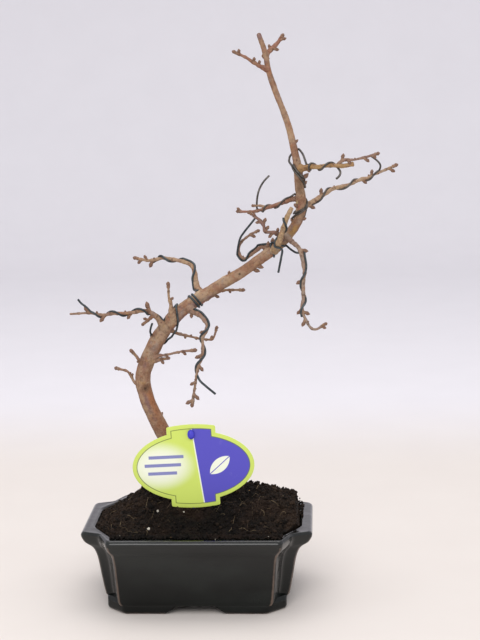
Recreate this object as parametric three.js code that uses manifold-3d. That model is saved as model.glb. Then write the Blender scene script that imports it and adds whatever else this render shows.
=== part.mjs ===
import * as THREE from 'three';
import { mergeVertices } from 'three/addons/utils/BufferGeometryUtils.js';
import Module from 'manifold-3d';

// A young golden larch trained as a bonsai, leafless, in a glazed pot with notched corners.
// Millimetres, +Z up, the table at z = 0. The pot is drawn centred on x = 0 and y = 0 and
// the front of the tree faces -Y. The last lines centre the whole object on the origin.

// Pot
const potLength = 151.5;
const potDepth = 112.5;
const potHeight = 51;
const frontPanelHalf = 56;
const sidePanelHalf = 33.8;
const bodyBottom = 5.8;
const footHeight = 5.6;
const footTop = 9;
const footLength = 117;
const footDepth = 97.5;
const footCant = 12;
const footWall = 8;
const floorTop = 11;
const openingLength = 135;
const openingDepth = 93;
const openingCut = [14.5, 26];
const drainRadius = 5;
const drainSpread = 27;

// Soil and the mesh squares under it
const gap = 0.35;
const soilEdgeHeight = 49.6;
const moundRise = 18.5;
const soilLump = 0.55;
const moundWidths = { front: 54, back: 24, left: 38, right: 40 };
const rightBank = 0.66;
const rightBankWidth = 3.5;
const meshSide = 18;
const meshThickness = 0.8;
const meshHole = 3.6;
const meshPitch = 5.2;

// Wire
const wireRadius = 0.75;
const wireClearance = 0.45;
const wireSides = 5;
const wireStep = 2.5;
const barkDent = 0.3;

// Plant label and the peg that holds it
const labelLength = 80;
const labelHeight = 48;
const labelTabHalf = 16;
const labelTabReach = 27;
const labelThickness = 0.8;
const labelHoleRadius = 2.4;
const labelHoleHeight = 22;
const labelPlace = [-2, -17, 90.5];
const labelLean = 3;
const labelRoll = 2.6;
const pegWidth = 5;
const pegThickness = 2.4;
const pegTop = 25.5;
const pegDepth = 60;

const wasm = await Module();
wasm.setup();

const degrees = Math.PI / 180;
const front = new THREE.Vector3(0, -1, 0);

// The same sequence of numbers between 0 and 1 on every run.
function makeDice(seed) {
  let state = seed;
  return () => {
    state = (state * 1664525 + 1013904223) % 4294967296;
    return state / 4294967296;
  };
}

// The step along the limb, the sides round it and how knobbly it is.
const trunkGrain = [7.5, 10, 0.025];
const branchGrain = [4.6, 6, 0.08];
const twigGrain = [4.2, 5, 0.08];
const rootGrain = [5, 6, 0.06];

// Solids

// A closed geometry with merged corners as a solid that can be joined and cut.
function solidOf(geometry) {
  const bare = geometry.clone();
  bare.deleteAttribute('normal');
  bare.deleteAttribute('uv');
  const merged = mergeVertices(bare, 1e-5);
  return new wasm.Manifold(new wasm.Mesh({
    numProp: 3,
    vertProperties: new Float32Array(merged.attributes.position.array),
    triVerts: new Uint32Array(merged.index.array),
  }));
}

function geometryOf(solid) {
  const { vertProperties, triVerts } = solid.getMesh();
  const geometry = new THREE.BufferGeometry();
  geometry.setAttribute('position', new THREE.BufferAttribute(vertProperties, 3));
  geometry.setIndex(new THREE.BufferAttribute(triVerts, 1));
  geometry.computeVertexNormals();
  return geometry;
}

// Joins many solids in pairs, then the pairs, and so on.
function join(solids) {
  let row = solids;
  while (row.length > 1) {
    const next = [];
    for (let i = 0; i < row.length; i += 2) {
      next.push(i + 1 < row.length ? row[i].add(row[i + 1]) : row[i]);
    }
    row = next;
  }
  return row[0];
}

// The largest of the bodies that a solid falls into, without loose scraps.
function largestBody(solid) {
  const bodies = solid.decompose();
  return bodies.reduce((best, body) => (body.volume() > best.volume() ? body : best));
}

// A closed skin through rings with the same number of points. The first ring is closed by a
// flat face, and so is the last, unless it has shrunk to one point.
function loft(rings) {
  const count = rings[0].length;
  const points = rings.flat();
  const faces = [];
  const lastIsPoint = rings.at(-1).length === 1;
  const sideRings = lastIsPoint ? rings.length - 2 : rings.length - 1;
  for (let ring = 0; ring < sideRings; ring += 1) {
    for (let i = 0; i < count; i += 1) {
      const low = ring * count;
      const next = (i + 1) % count;
      faces.push(low + i, low + next, low + count + next);
      faces.push(low + i, low + count + next, low + count + i);
    }
  }
  const flatFace = (ring, flip) => {
    const start = ring * count;
    const origin = rings[ring][0];
    const normal = new THREE.Vector3();
    for (let i = 0; i < count; i += 1) {
      const a = rings[ring][i].clone().sub(origin);
      const b = rings[ring][(i + 1) % count].clone().sub(origin);
      normal.add(a.cross(b));
    }
    normal.normalize();
    const across = rings[ring][1].clone().sub(origin).normalize();
    const along = normal.clone().cross(across);
    const flat = rings[ring].map((p) => {
      const d = p.clone().sub(origin);
      return new THREE.Vector2(d.dot(across), d.dot(along));
    });
    for (const [a, b, c] of THREE.ShapeUtils.triangulateShape(flat, [])) {
      faces.push(start + a, start + (flip ? c : b), start + (flip ? b : c));
    }
  };
  flatFace(0, true);
  if (lastIsPoint) {
    const low = (rings.length - 2) * count;
    for (let i = 0; i < count; i += 1) {
      faces.push(low + i, low + ((i + 1) % count), points.length - 1);
    }
  } else {
    flatFace(rings.length - 1, false);
  }
  const geometry = new THREE.BufferGeometry();
  const numbers = points.flatMap((p) => [p.x, p.y, p.z]);
  geometry.setAttribute('position', new THREE.Float32BufferAttribute(numbers, 3));
  geometry.setIndex(faces);
  return geometry;
}

// A closed tube of round sections. Each station has a place and a radius, and a radius of
// nothing at the last one makes a point there. The sections turn as little as they can.
function tube(stations, sides) {
  const rings = [];
  let side = null;
  stations.forEach(({ place, radius }, i) => {
    const before = stations[Math.max(i - 1, 0)].place;
    const after = stations[Math.min(i + 1, stations.length - 1)].place;
    const along = after.clone().sub(before).normalize();
    if (side === null) {
      side = Math.abs(along.y) < 0.9 ? front.clone() : new THREE.Vector3(1, 0, 0);
    }
    side.addScaledVector(along, -side.dot(along)).normalize();
    const up = along.clone().cross(side);
    if (radius === 0) {
      rings.push([place.clone()]);
      return;
    }
    const ring = [];
    for (let k = 0; k < sides; k += 1) {
      const angle = (2 * Math.PI * k) / sides;
      ring.push(place.clone()
        .addScaledVector(side, radius * Math.cos(angle))
        .addScaledVector(up, radius * Math.sin(angle)));
    }
    rings.push(ring);
  });
  return loft(rings);
}

// Limbs of the tree

// A bud's outline as [share of its length, radius]. It ends in a point.
function budProfile(size) {
  const thick = 0.5 + size * 0.16;
  return [[0.2, thick * 0.9], [0.6, thick], [1, 0]];
}

// A limb's centre line runs smoothly through its stations [x, y, z, radius]. It may end in a
// bud of a given length.
class Limb {
  constructor(stations, tipBud = 0) {
    this.tipBud = tipBud;
    this.radii = stations.map((station) => station[3]);
    const points = stations.map(([x, y, z]) => new THREE.Vector3(x, y, z));
    this.curve = new THREE.CatmullRomCurve3(points, false, 'catmullrom', 0.5);
    this.curve.arcLengthDivisions = 30 * stations.length;
    this.length = this.curve.getLength();
  }

  share(distance) {
    return THREE.MathUtils.clamp(distance / this.length, 0, 1);
  }

  place(distance) {
    return this.curve.getPointAt(this.share(distance));
  }

  along(distance) {
    return this.curve.getTangentAt(this.share(distance));
  }

  radius(distance) {
    const t = this.curve.getUtoTmapping(this.share(distance)) * (this.radii.length - 1);
    const low = Math.min(Math.floor(t), this.radii.length - 2);
    return THREE.MathUtils.lerp(this.radii[low], this.radii[low + 1], t - low);
  }

  // The way out of the limb at an angle: 0 faces the viewer, and 90 is to the right on a
  // limb that rises, below one that runs right, and above one that runs left.
  outward(distance, angle) {
    const along = this.along(distance);
    const facing = front.clone().addScaledVector(along, -front.dot(along)).normalize();
    const beside = along.clone().cross(facing);
    return facing.multiplyScalar(Math.cos(angle * degrees))
      .addScaledVector(beside, Math.sin(angle * degrees));
  }

  // The distance along a limb that rises all the way, at a height.
  atHeight(z) {
    let low = 0;
    let high = this.length;
    for (let i = 0; i < 40; i += 1) {
      const middle = (low + high) / 2;
      if (this.place(middle).z < z) {
        low = middle;
      } else {
        high = middle;
      }
    }
    return low;
  }

  // The limb as a solid, knobbly by a share of its radius, or larger all round for a hole.
  solid(step, sides, knobs, grow = 0) {
    const count = Math.max(2, Math.round(this.length / step));
    const dice = makeDice(Math.round(this.length * 7));
    const stations = [];
    for (let i = 0; i <= count; i += 1) {
      const distance = (this.length * i) / count;
      const knob = 1 + knobs * (2 * dice() - 1);
      stations.push({ place: this.place(distance), radius: this.radius(distance) * knob + grow });
    }
    const tip = stations.at(-1);
    const ahead = this.along(this.length);
    const end = this.tipBud > 0
      ? budProfile(this.tipBud).map(([reach, radius]) => [reach * this.tipBud, radius])
      : [[tip.radius * 0.45, tip.radius * 0.55]];
    for (const [reach, radius] of end) {
      stations.push({ place: tip.place.clone().addScaledVector(ahead, reach), radius });
    }
    return solidOf(tube(stations, sides));
  }
}

// The trunk leans left out of the soil, turns right in a long bow and rises to a thin leader.
const trunk = new Limb([
  [-6, 5, 36, 6.4],
  [-7, 5, 52, 6.6],
  [-9, 4, 68, 6],
  [-14, 3, 85, 5.5],
  [-22, 1, 106, 5.1],
  [-30, -1, 124, 5],
  [-34.5, -3, 139, 4.9],
  [-35, -4, 148, 4.9],
  [-32, -5, 158, 5],
  [-26, -5, 170, 4.9],
  [-18, -4, 182, 4.8],
  [-9, -2, 191, 4.4],
  [3, 0, 199, 4],
  [16, 2, 207, 3.6],
  [30, 3, 215, 3.4],
  [43, 4, 224, 3.4],
  [55, 3, 233, 3.4],
  [64, 1, 243, 3.1],
  [68.5, -2, 252, 3.1],
  [70, -4, 261, 3.2],
  [69, -6, 272, 3],
  [68, -6, 284, 2.8],
  [66, -5, 295, 2.4],
  [63, -3, 308, 2.1],
  [59, -1, 320, 1.95],
  [54, 1, 333, 1.9],
  [50, 3, 345, 1.8],
  [48, 4, 356, 1.7],
  [44, 5, 368, 1.55],
]);

// Branches, each from inside the trunk or the branch it grows on out to its tip.
const lowLeft = new Limb([
  [-18, -6, 178, 2.2], [-22, -11, 185, 1.7], [-25, -14, 190, 1.5], [-29, -16, 193, 1.3],
  [-34, -19, 194, 1.2], [-40, -21, 193, 1.1], [-51, -26, 193.5, 1], [-56, -28, 193, 1],
  [-61, -30, 194, 0.95], [-65, -31, 195, 0.8], [-71, -33, 195, 0.7], [-77, -35, 195, 0.7],
]);
const highLeft = new Limb([
  [5, 2, 200, 2.4], [1.5, 7, 204, 2], [0, 11, 209, 1.6], [-1, 14, 214, 1.5],
  [-3, 17, 218, 1.4], [-7, 19, 220, 1.3], [-12, 22, 221, 1.2], [-22, 27, 222, 1.1],
  [-27, 29, 221, 1.1], [-31, 31, 220, 1], [-35, 32, 220, 0.9], [-41, 34, 221, 0.8],
], 3.8);
const lowHanging = new Limb([
  [-4, -3, 193, 2.2], [1, -10, 191, 1.7], [4, -14, 190, 1.5], [7, -16, 187, 1.3],
  [9, -18, 184, 1.2], [8, -19, 180, 1.1], [6, -20, 176, 1.05], [6, -21, 172, 1],
  [6, -22, 167, 1], [5, -23, 163, 1], [3, -24, 158, 0.9], [1, -25, 147, 0.75],
  [0, -26, 141, 0.8], [-1, -26, 135, 0.9],
], 3.8);
const loopBranch = new Limb([
  [49, 6, 229, 1.7], [44, 11, 231, 1.3], [40, 14, 228, 1.1], [36, 17, 225, 1.1],
  [32, 19, 222, 1], [29, 21, 224, 0.9], [28, 22, 228, 0.8], [30, 22, 233, 0.75],
  [36, 20, 238, 0.75], [40, 19, 240, 0.7],
], 3.2);
const spurBranch = new Limb([
  [59, 1, 237.5, 1.8], [54, -8, 242, 1.4], [51, -11, 243, 1.1], [47, -13, 244, 1],
  [46, -15, 248, 1], [44, -16, 251, 1], [42, -17, 253, 0.9], [38, -18, 256, 0.8],
], 3.2);
const crossBranch = new Limb([
  [69, -3, 264, 1.8], [65, 2, 263, 1.4], [60, 6, 261, 1.3], [55, 10, 259, 1.2],
  [50, 14, 257, 1.1], [40, 20, 253.5, 0.95], [35, 22, 253, 0.8], [29, 24, 253, 0.75],
], 3.2);
const stubBranch = new Limb([
  [68, -5, 283, 2], [73, -11, 284, 1.7], [77, -14, 285, 1.5], [82, -17, 285, 1.35],
  [87, -19, 286, 1.3], [97, -23, 286, 1.3], [103, -24, 287, 1.4],
]);
const stubTwig = new Limb([
  [93, -21, 286, 0.9], [97, -23, 289.5, 0.9], [104, -26, 290, 0.75],
  [112, -29, 292, 0.75], [117, -30, 293.5, 0.7],
], 3.2);
const longRight = new Limb([
  [69, -2, 256, 1.9], [74, 4, 259, 1.6], [78, 8, 261, 1.4], [82, 12, 263, 1.4],
  [87, 15, 266, 1.3], [91, 18, 268, 1.2], [96, 20, 269, 1.2], [101, 22, 270, 1.1],
  [109, 26, 273, 1.1], [114, 28, 274, 1], [118, 29, 276, 0.9], [126, 31, 279, 0.85],
  [131, 33, 281, 0.75],
], 3.8);
const highHanging = new Limb([
  [60, 0, 239, 2], [64, -6, 236, 1.5], [68, -10, 233, 1.35], [70, -13, 229, 1.3],
  [71, -15, 224, 1.25], [72, -17, 218, 1.2], [71, -18, 212, 1.2], [71, -20, 201, 1.1],
  [70, -20, 196, 1], [71, -21, 191, 0.9], [75, -23, 183.5, 0.8], [79, -24, 182, 0.7],
  [84, -25, 185, 0.7],
], 3);
const paleStub = new Limb([
  [52, 2.5, 229.5, 2.2], [53.3, -3, 231.5, 2], [55, -9, 235, 1.9], [57, -12, 241, 1.7],
  [59, -14, 247, 1.55], [61, -16, 253, 1.4], [64, -17, 259, 1.3],
]);

// Thin twigs and short spurs.
const lowestTwig = new Limb([
  [-32, -2, 139, 1.5], [-41, 3, 142, 1], [-44, 6, 146, 0.8], [-47, 8, 149, 0.75],
  [-53, 11, 150, 0.75],
], 3.8);
const lowSpur = new Limb([
  [-32, -4, 153, 1.4], [-36, -10, 159, 1], [-38, -13, 163, 0.95], [-40, -15, 166, 0.9],
], 3.8);
const rightTwig = new Limb([
  [-30, -6, 160, 1.5], [-23, -11, 163, 0.9], [-19, -14, 164, 0.75], [-8, -18, 167, 0.7],
  [-1, -20, 168, 0.9],
], 4);
const rightSpur = new Limb([
  [-29, -6, 158, 1.4], [-22, -11, 160.5, 1], [-18, -13, 161.5, 0.85],
], 2.8);
const forkTwig = new Limb([
  [-19, -2, 180, 1.6], [-13, 5, 175, 0.95], [-4, 13, 171, 0.8], [2, 16, 169, 0.75],
  [9, 19, 168, 0.7], [11, 21, 170.5, 0.65], [12, 22, 174, 0.8],
], 3.2);
const downSpur = new Limb([
  [-26, -15, 190.5, 1.1], [-30, -11, 186.5, 0.95], [-33, -9, 184, 0.85],
], 2.8);
const uprightTwig = new Limb([
  [-14, -4, 184, 2.6], [-15, -8, 191, 1.6], [-15, -10, 197, 1], [-16, -12, 202, 0.8],
  [-16, -14, 209, 0.8],
], 3.8);
const underTwig = new Limb([
  [3, 2, 197.5, 1.5], [7, 7, 197, 1.1], [11, 10, 199, 1], [15, 12, 201, 0.9],
  [20, 14, 202, 0.75], [29, 17, 201.5, 0.8],
], 3.8);
const crossTwig = new Limb([
  [47, 16, 256, 0.9], [43, 15.5, 257.5, 0.7], [39, 16, 257.5, 0.65],
], 2.4);
const topLeft = new Limb([
  [49.5, 3, 346, 1.5], [45, -1, 348, 1.2], [42, -4, 350, 1.1], [39, -6, 352, 1],
  [36, -8, 354, 0.8], [30, -11, 357, 0.8],
], 3.4);
const topRight = new Limb([
  [47.5, 4, 354, 1.5], [50, 8, 357, 1.4], [53, 11, 360, 1.3], [56, 13, 363, 1.1],
  [58, 15, 366, 0.9],
], 3.8);

// Roots that spread from the foot of the trunk and sink into the soil.
const roots = [
  new Limb([[-9, 5, 70, 3.6], [0, 7, 67, 2.4], [8, 10, 60, 1.7], [13, 12, 52, 1.1]]),
  new Limb([[-9, 5, 70, 3.4], [-10, 13, 67, 2.3], [-12, 20, 59, 1.5], [-14, 24, 51, 1]]),
  new Limb([[-9, 5, 70, 3.6], [-17, 7, 66.5, 2.5], [-25, 10, 59, 1.7], [-30, 11, 51, 1.1]]),
  new Limb([[-9, 5, 70, 3.2], [-14, -2, 66.5, 2.2], [-20, -8, 58, 1.4], [-23, -11, 50, 1]]),
];

// Buds, as [distance along the limb, angle, length], each limb's own.
const budRows = [
  [lowestTwig, [[21, 60, 3.6]]],
  [lowSpur, [[15, 40, 4]]],
  [rightTwig, [[14, 110, 2.6], [30, 330, 4.4]]],
  [rightSpur, [[9, 60, 3.4]]],
  [forkTwig, [[33, 90, 2.6], [40, 250, 3]]],
  [downSpur, [[7, 90, 3]]],
  [uprightTwig, [[17, 90, 2.8], [26.5, 60, 4]]],
  [underTwig, [[13, 80, 3.4], [29.5, 60, 4]]],
  [topLeft, [[8, 90, 3], [13, 60, 3.4], [24.5, 70, 3.2]]],
  [topRight, [[8, 270, 3], [10, 90, 3.6], [18, 60, 3.6]]],
  [lowLeft, [[21.5, 100, 6], [34, 270, 3.8], [51.5, 280, 4.8], [62, 85, 4.6]]],
  [highLeft, [[57, 270, 5], [61, 90, 3.4], [65, 260, 3.8]]],
  [lowHanging, [
    [5, 80, 4], [27, 95, 3.6], [43, 90, 4.4], [50, 270, 4.2], [61, 90, 3.6], [69, 270, 4.4],
    [73, 90, 4.6],
  ]],
  [loopBranch, [[47, 60, 4]]],
  [spurBranch, [
    [11, 90, 3.4], [15, 270, 3.6], [21, 80, 4], [26, 90, 4], [28, 270, 3], [34, 30, 3],
  ]],
  [crossBranch, [[50, 60, 3.2]]],
  [stubBranch, [[9, 90, 2.6]]],
  [stubTwig, [[5, 250, 4], [9, 90, 3.2], [20, 90, 3.8], [25.5, 50, 3]]],
  [longRight, [[9, 80, 4.6], [22, 270, 4.4], [54, 90, 3.8], [61, 270, 3.6], [74, 90, 4.2]]],
  [highHanging, [
    [17, 270, 4.6], [37, 90, 4.4], [56, 90, 3.8], [57.5, 270, 4.4], [63, 90, 4.4], [77, 60, 3],
  ]],
];

// The trunk's own buds, as [height, angle, length].
const trunkBuds = [
  [118, 95, 2.8], [211, 270, 3], [219, 90, 5], [221, 60, 5], [228.5, 280, 5],
  [230.5, 250, 5], [232, 305, 4], [247, 270, 3], [251, 60, 4], [258, 310, 4.6], [262, 285, 4],
  [270, 200, 2.6], [276, 80, 5.6], [272, 100, 3.8], [299, 80, 2.6],
];
const buds = [
  ...budRows.flatMap(([limb, row]) => row.map((bud) => [limb, ...bud])),
  ...trunkBuds.map(([z, angle, size]) => [trunk, trunk.atHeight(z), angle, size]),
];

// A bud leans towards the tip of its limb and ends in a point.
function budSolid([limb, distance, angle, size]) {
  const out = limb.outward(distance, angle);
  const lean = out.clone().multiplyScalar(0.8).addScaledVector(limb.along(distance), 0.6);
  const start = limb.place(distance).addScaledVector(out, limb.radius(distance) * 0.3);
  const reach = size + limb.radius(distance) * 0.6;
  const stations = budProfile(size).map(([share, radius]) => ({
    place: start.clone().addScaledVector(lean, (share - 0.2) * 1.25 * reach),
    radius,
  }));
  return solidOf(tube(stations, 4));
}

// Wires

// A stretch of wire wound on a limb, from one [distance, angle] to the next.
function winding(limb, marks, lift = 0) {
  const points = [];
  for (let i = 0; i + 1 < marks.length; i += 1) {
    const [fromDistance, fromAngle] = marks[i];
    const [toDistance, toAngle] = marks[i + 1];
    const run = Math.hypot(
      toDistance - fromDistance,
      (toAngle - fromAngle) * degrees * (limb.radius(fromDistance) + wireRadius),
    );
    const count = Math.max(1, Math.round(run / 1.9));
    for (let k = i === 0 ? 0 : 1; k <= count; k += 1) {
      const distance = THREE.MathUtils.lerp(fromDistance, toDistance, k / count);
      const angle = THREE.MathUtils.lerp(fromAngle, toAngle, k / count);
      const reach = limb.radius(distance) + wireRadius + wireClearance + lift;
      points.push(limb.place(distance).addScaledVector(limb.outward(distance, angle), reach));
    }
  }
  return points;
}

// The same on the trunk, where a height says the place.
function trunkWinding(marks, lift = 0) {
  return winding(trunk, marks.map(([z, angle]) => [trunk.atHeight(z), angle]), lift);
}

function bent(points) {
  return points.map(([x, y, z]) => new THREE.Vector3(x, y, z));
}

// Each wire is one length, wound on its branches and held by turns round the trunk.
const wireRoutes = {
  wire_low_left: [
    ...bent([[-28, -16, 184.5], [-29.5, -14.5, 181], [-29.5, -12, 178]]),
    ...trunkWinding([[172, -75], [170.5, -130], [170, -180], [171, -240], [177, -285],
      [184, -325], [189, -360], [191.5, -410], [192, -450], [188, -500]]),
    ...winding(lowLeft, [[8, 150], [11, 120], [17, 180], [21, 270], [25, 360], [42.5, 720],
      [57.5, 1080], [61, 1140]]),
    ...bent([[-67, -32.5, 199], [-70, -33, 201.5], [-72, -33, 204]]),
  ],
  wire_left_pair: [
    ...winding(highLeft, [[57, 610], [53, 530], [50, 450], [46, 360], [42, 270], [37, 170],
      [33, 100], [25, 80], [19, 0], [15, -80], [8, -95]]),
    ...trunkWinding([[198.4, 630], [197.3, 540], [196.4, 450], [195.6, 360], [194.8, 270],
      [194, 180], [193.2, 110]]),
    ...winding(lowHanging, [[8, -60], [12, -90], [20, -90], [26, 0], [31, 90], [35.5, 180],
      [41, 270], [46, 360], [51, 450], [55, 520]]),
    ...bent([[4, -27.5, 150], [7, -28, 147], [14, -28, 141]]),
  ],
  wire_loop_pair: [
    ...bent([[40, 14, 250], [36, 15, 245], [32, 16.5, 240], [29, 18.5, 235]]),
    ...winding(loopBranch, [[31, -50], [27, -90], [22, 0], [17, 90], [9, 100]]),
    ...trunkWinding([[229.4, -80], [228.2, 0], [227.2, 90], [228.3, 180], [231, 270], [234, 360],
      [235.5, 430]]),
    ...bent([[63, -4, 231], [67, -10, 229.5]]),
    ...winding(highHanging, [[19, -80], [26, -90], [33, 0], [40, 90], [45, 180], [50, 270],
      [55, 360], [60, 440]]),
  ],
  wire_pale_stub: [
    ...winding(paleStub, [[30.8, -70], [27.3, 0], [22.3, 90], [17.8, 180], [14.8, 270],
      [11.8, 345]]),
    ...bent([[55.5, -12, 230], [56, -11, 224], [55, -10.5, 217]]),
  ],
  wire_right_pair: [
    ...bent([[49, 17, 277], [44, 16, 273], [42, 15, 268], [41, 14.5, 262]]),
    ...winding(crossBranch, [[38, -600], [34, -450], [29.5, -286], [24, -90], [21, -70], [16.5, 0],
      [12, 80], [8, 90]]),
    ...trunkWinding([[268.5, -80], [266.5, -180], [263.7, -260], [260.7, -310], [257.2, -360],
      [252.7, -440], [255, -540], [261.2, -620], [258.2, -670], [254.7, -720], [250.2, -800],
      [249.8, -900], [251.5, -960]]),
    ...winding(longRight, [[9, 150], [17, 90], [23, 0], [43.4, -360], [62, -720], [67, -800]]),
    ...bent([[122, 27.5, 282], [120, 27, 285], [115, 26, 289]]),
  ],
  wire_top_right: [
    ...trunkWinding([[274, 75], [277, 45], [281, 0], [285, -50]]),
    ...trunkWinding([[288.5, -90], [292, -130]], 1.4),
    ...trunkWinding([[294.5, -180], [295, -250]]),
    ...bent([[71.5, -9.5, 292.5]]),
    ...winding(stubBranch, [[9.5, -100], [13, -450], [18.5, -630], [23, -720], [26.5, -810],
      [30, -920]]),
    ...bent([[95, -24, 282.5], [94.5, -25, 280], [92.5, -25, 278]]),
  ],
};

// The wire along its route, as evenly spaced stations.
function wireStations(route, radius) {
  const curve = new THREE.CatmullRomCurve3(route, false, 'catmullrom', 0.5);
  curve.arcLengthDivisions = 12 * route.length;
  const count = Math.round(curve.getLength() / wireStep);
  return curve.getSpacedPoints(count).map((place) => ({ place, radius }));
}

const wires = Object.entries(wireRoutes).map(([name, route]) => ({
  name,
  solid: solidOf(tube(wireStations(route, wireRadius), wireSides)),
  clearing: solidOf(tube(wireStations(route, wireRadius + barkDent), wireSides)),
}));

// The tree is one solid: limbs, twigs, roots and buds joined, and dented where a wire bites.
function treeSolid() {
  const branches = [
    lowLeft, highLeft, lowHanging, loopBranch, spurBranch, crossBranch, stubBranch, longRight,
    highHanging, paleStub,
  ];
  const twigs = [
    stubTwig, lowestTwig, lowSpur, rightTwig, rightSpur, forkTwig, downSpur, uprightTwig,
    underTwig, crossTwig, topLeft, topRight,
  ];
  const grown = join([
    trunk.solid(...trunkGrain),
    ...branches.map((limb) => limb.solid(...branchGrain)),
    ...twigs.map((limb) => limb.solid(...twigGrain)),
    ...roots.map((limb) => limb.solid(...rootGrain)),
    ...buds.map(budSolid),
  ]);
  const bitten = wires.reduce((solid, wire) => solid.subtract(wire.clearing), grown);
  return largestBody(bitten);
}

// Pot

// A closed outline through corners [x, y], each rounded off by a short curve.
function roundedOutline(corners, rounding, steps) {
  const points = [];
  corners.forEach(([x, y], i) => {
    const corner = new THREE.Vector2(x, y);
    const before = new THREE.Vector2(...corners.at(i - 1));
    const after = new THREE.Vector2(...corners[(i + 1) % corners.length]);
    const start = corner.clone().add(before.sub(corner).setLength(rounding));
    const end = corner.clone().add(after.sub(corner).setLength(rounding));
    points.push(...new THREE.QuadraticBezierCurve(start, corner, end).getPoints(steps));
  });
  return points;
}

// A rectangle whose corners step in, so that four flat panels stand proud.
function notchedCorners(halfLength, halfDepth, panelX, panelY) {
  const notchX = panelX + 0.37 * (halfLength - panelX);
  const quarter = [[panelX, -halfDepth], [notchX, -panelY - 4.5], [halfLength, -panelY]];
  const mirrored = quarter.map(([x, y]) => [x, -y]).reverse();
  const right = [...quarter, ...mirrored];
  return [...right, ...right.map(([x, y]) => [-x, -y])];
}

// A rectangle whose corners are cut off.
function cantedCorners(halfLength, halfDepth, cutX, cutY) {
  return [
    [halfLength - cutX, -halfDepth], [halfLength, cutY - halfDepth],
    [halfLength, halfDepth - cutY], [halfLength - cutX, halfDepth],
    [cutX - halfLength, halfDepth], [-halfLength, halfDepth - cutY],
    [-halfLength, cutY - halfDepth], [cutX - halfLength, -halfDepth],
  ];
}

function ringAt(outline, z) {
  return outline.map((p) => new THREE.Vector3(p.x, p.y, z));
}

// The outside, as [height, how far the end walls stand in from the rim]. The front and the
// back stand in by this share of it.
const frontShare = 0.4;
const potLevels = [
  [bodyBottom, 17.6], [8, 15.6], [18.7, 13.3], [32, 11], [38, 9], [40.8, 6.8], [43.6, 2.6],
  [46.8, 0.6], [49.8, 0.2], [potHeight, 1.8],
];

function potOutside() {
  const rings = potLevels.map(([z, inward]) => ringAt(roundedOutline(notchedCorners(
    potLength / 2 - inward,
    potDepth / 2 - inward * frontShare,
    frontPanelHalf - inward * 0.4,
    sidePanelHalf - inward * 0.1,
  ), 2.6, 2), z));
  return solidOf(loft(rings));
}

// The space inside, as [height, how far its walls stand in from the opening].
const cavityLevels = [[floorTop, 16], [15, 13], [38, 7.5], [49.4, 0.4], [potHeight + 1, -1.2]];

// The outline inside at one of those heights, narrower by a margin for what fills it.
function cavityOutline([, inward], margin) {
  return roundedOutline(cantedCorners(
    openingLength / 2 - inward - margin,
    openingDepth / 2 - inward * 0.7 - margin,
    ...openingCut,
  ), 3, 2);
}

function boxAt(x, y, z, width, depth, height) {
  return new THREE.BoxGeometry(width, depth, height).translate(x, y, z);
}

// A wedge-sided gap between two feet, along X, open to below.
function footGap(bottomHalf, topHalf, across) {
  const shape = new THREE.Shape([
    new THREE.Vector2(-bottomHalf, -1),
    new THREE.Vector2(bottomHalf, -1),
    new THREE.Vector2(bottomHalf, 0),
    new THREE.Vector2(topHalf, footHeight),
    new THREE.Vector2(-topHalf, footHeight),
    new THREE.Vector2(-bottomHalf, 0),
  ]);
  const geometry = new THREE.ExtrudeGeometry(shape, { depth: across, bevelEnabled: false });
  return geometry.translate(0, 0, -across / 2).rotateX(Math.PI / 2);
}

function potSolid() {
  const footOutline = (grow) => roundedOutline(cantedCorners(
    footLength / 2 + grow,
    footDepth / 2 + grow,
    footCant,
    footCant,
  ), 2, 2);
  const foot = loft([
    ringAt(footOutline(-1.6), 0),
    ringAt(footOutline(-0.8), 1),
    ringAt(footOutline(0), footTop),
  ]);
  const recess = loft([-1, footHeight].map((z) => ringAt(footOutline(-footWall), z)));
  const cavity = loft(cavityLevels.map((level) => ringAt(cavityOutline(level, 0), level[0])));
  const drains = [-drainSpread, drainSpread].map((x) => new THREE.CylinderGeometry(
    drainRadius,
    drainRadius,
    floorTop,
    16,
  ).rotateX(Math.PI / 2).translate(x, 0, floorTop - 1));
  const sideGap = footGap(15, 9, potLength).rotateZ(Math.PI / 2);
  const cuts = [recess, cavity, footGap(20.5, 12.3, potDepth), sideGap, ...drains];
  return cuts.reduce((solid, cut) => solid.subtract(solidOf(cut)), potOutside().add(solidOf(foot)));
}

// A square of plastic netting that keeps the soil off a drainage hole.
function meshGeometry(x) {
  const z = floorTop + gap + meshThickness / 2;
  const square = solidOf(boxAt(x, 0, z, meshSide, meshSide, meshThickness));
  const steps = [-meshPitch, 0, meshPitch];
  const holes = steps.flatMap((across) => steps.map((along) => solidOf(
    boxAt(x + across, along, z, meshHole, meshHole, 2 * meshThickness),
  )));
  return geometryOf(holes.reduce((solid, hole) => solid.subtract(hole), square));
}

// Soil

// From 0 at the edge of the opening to 1 further in, with a soft start and end.
function ramp(distance, width) {
  return THREE.MathUtils.smoothstep(distance, 0, width);
}

// The heap rises gently from the front and the left, with a steep bank along the right end.
function soilHeight(x, y) {
  const heap = ramp(y + openingDepth / 2, moundWidths.front)
    * ramp(openingDepth / 2 - y, moundWidths.back)
    * ramp(x + openingLength / 2, moundWidths.left)
    * ramp(openingLength / 2 - x, rightBankWidth)
    * (rightBank + (1 - rightBank) * ramp(openingLength / 2 - x, moundWidths.right));
  const lumps = Math.sin(x * 0.55 + 1.3) * Math.sin(y * 0.62 + 0.4)
    + 0.6 * Math.sin(x * 1.07 + y * 0.9) + 0.5 * Math.sin(x * 0.21 - y * 0.33 + 2);
  return soilEdgeHeight + moundRise * heap + soilLump * lumps;
}

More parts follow.
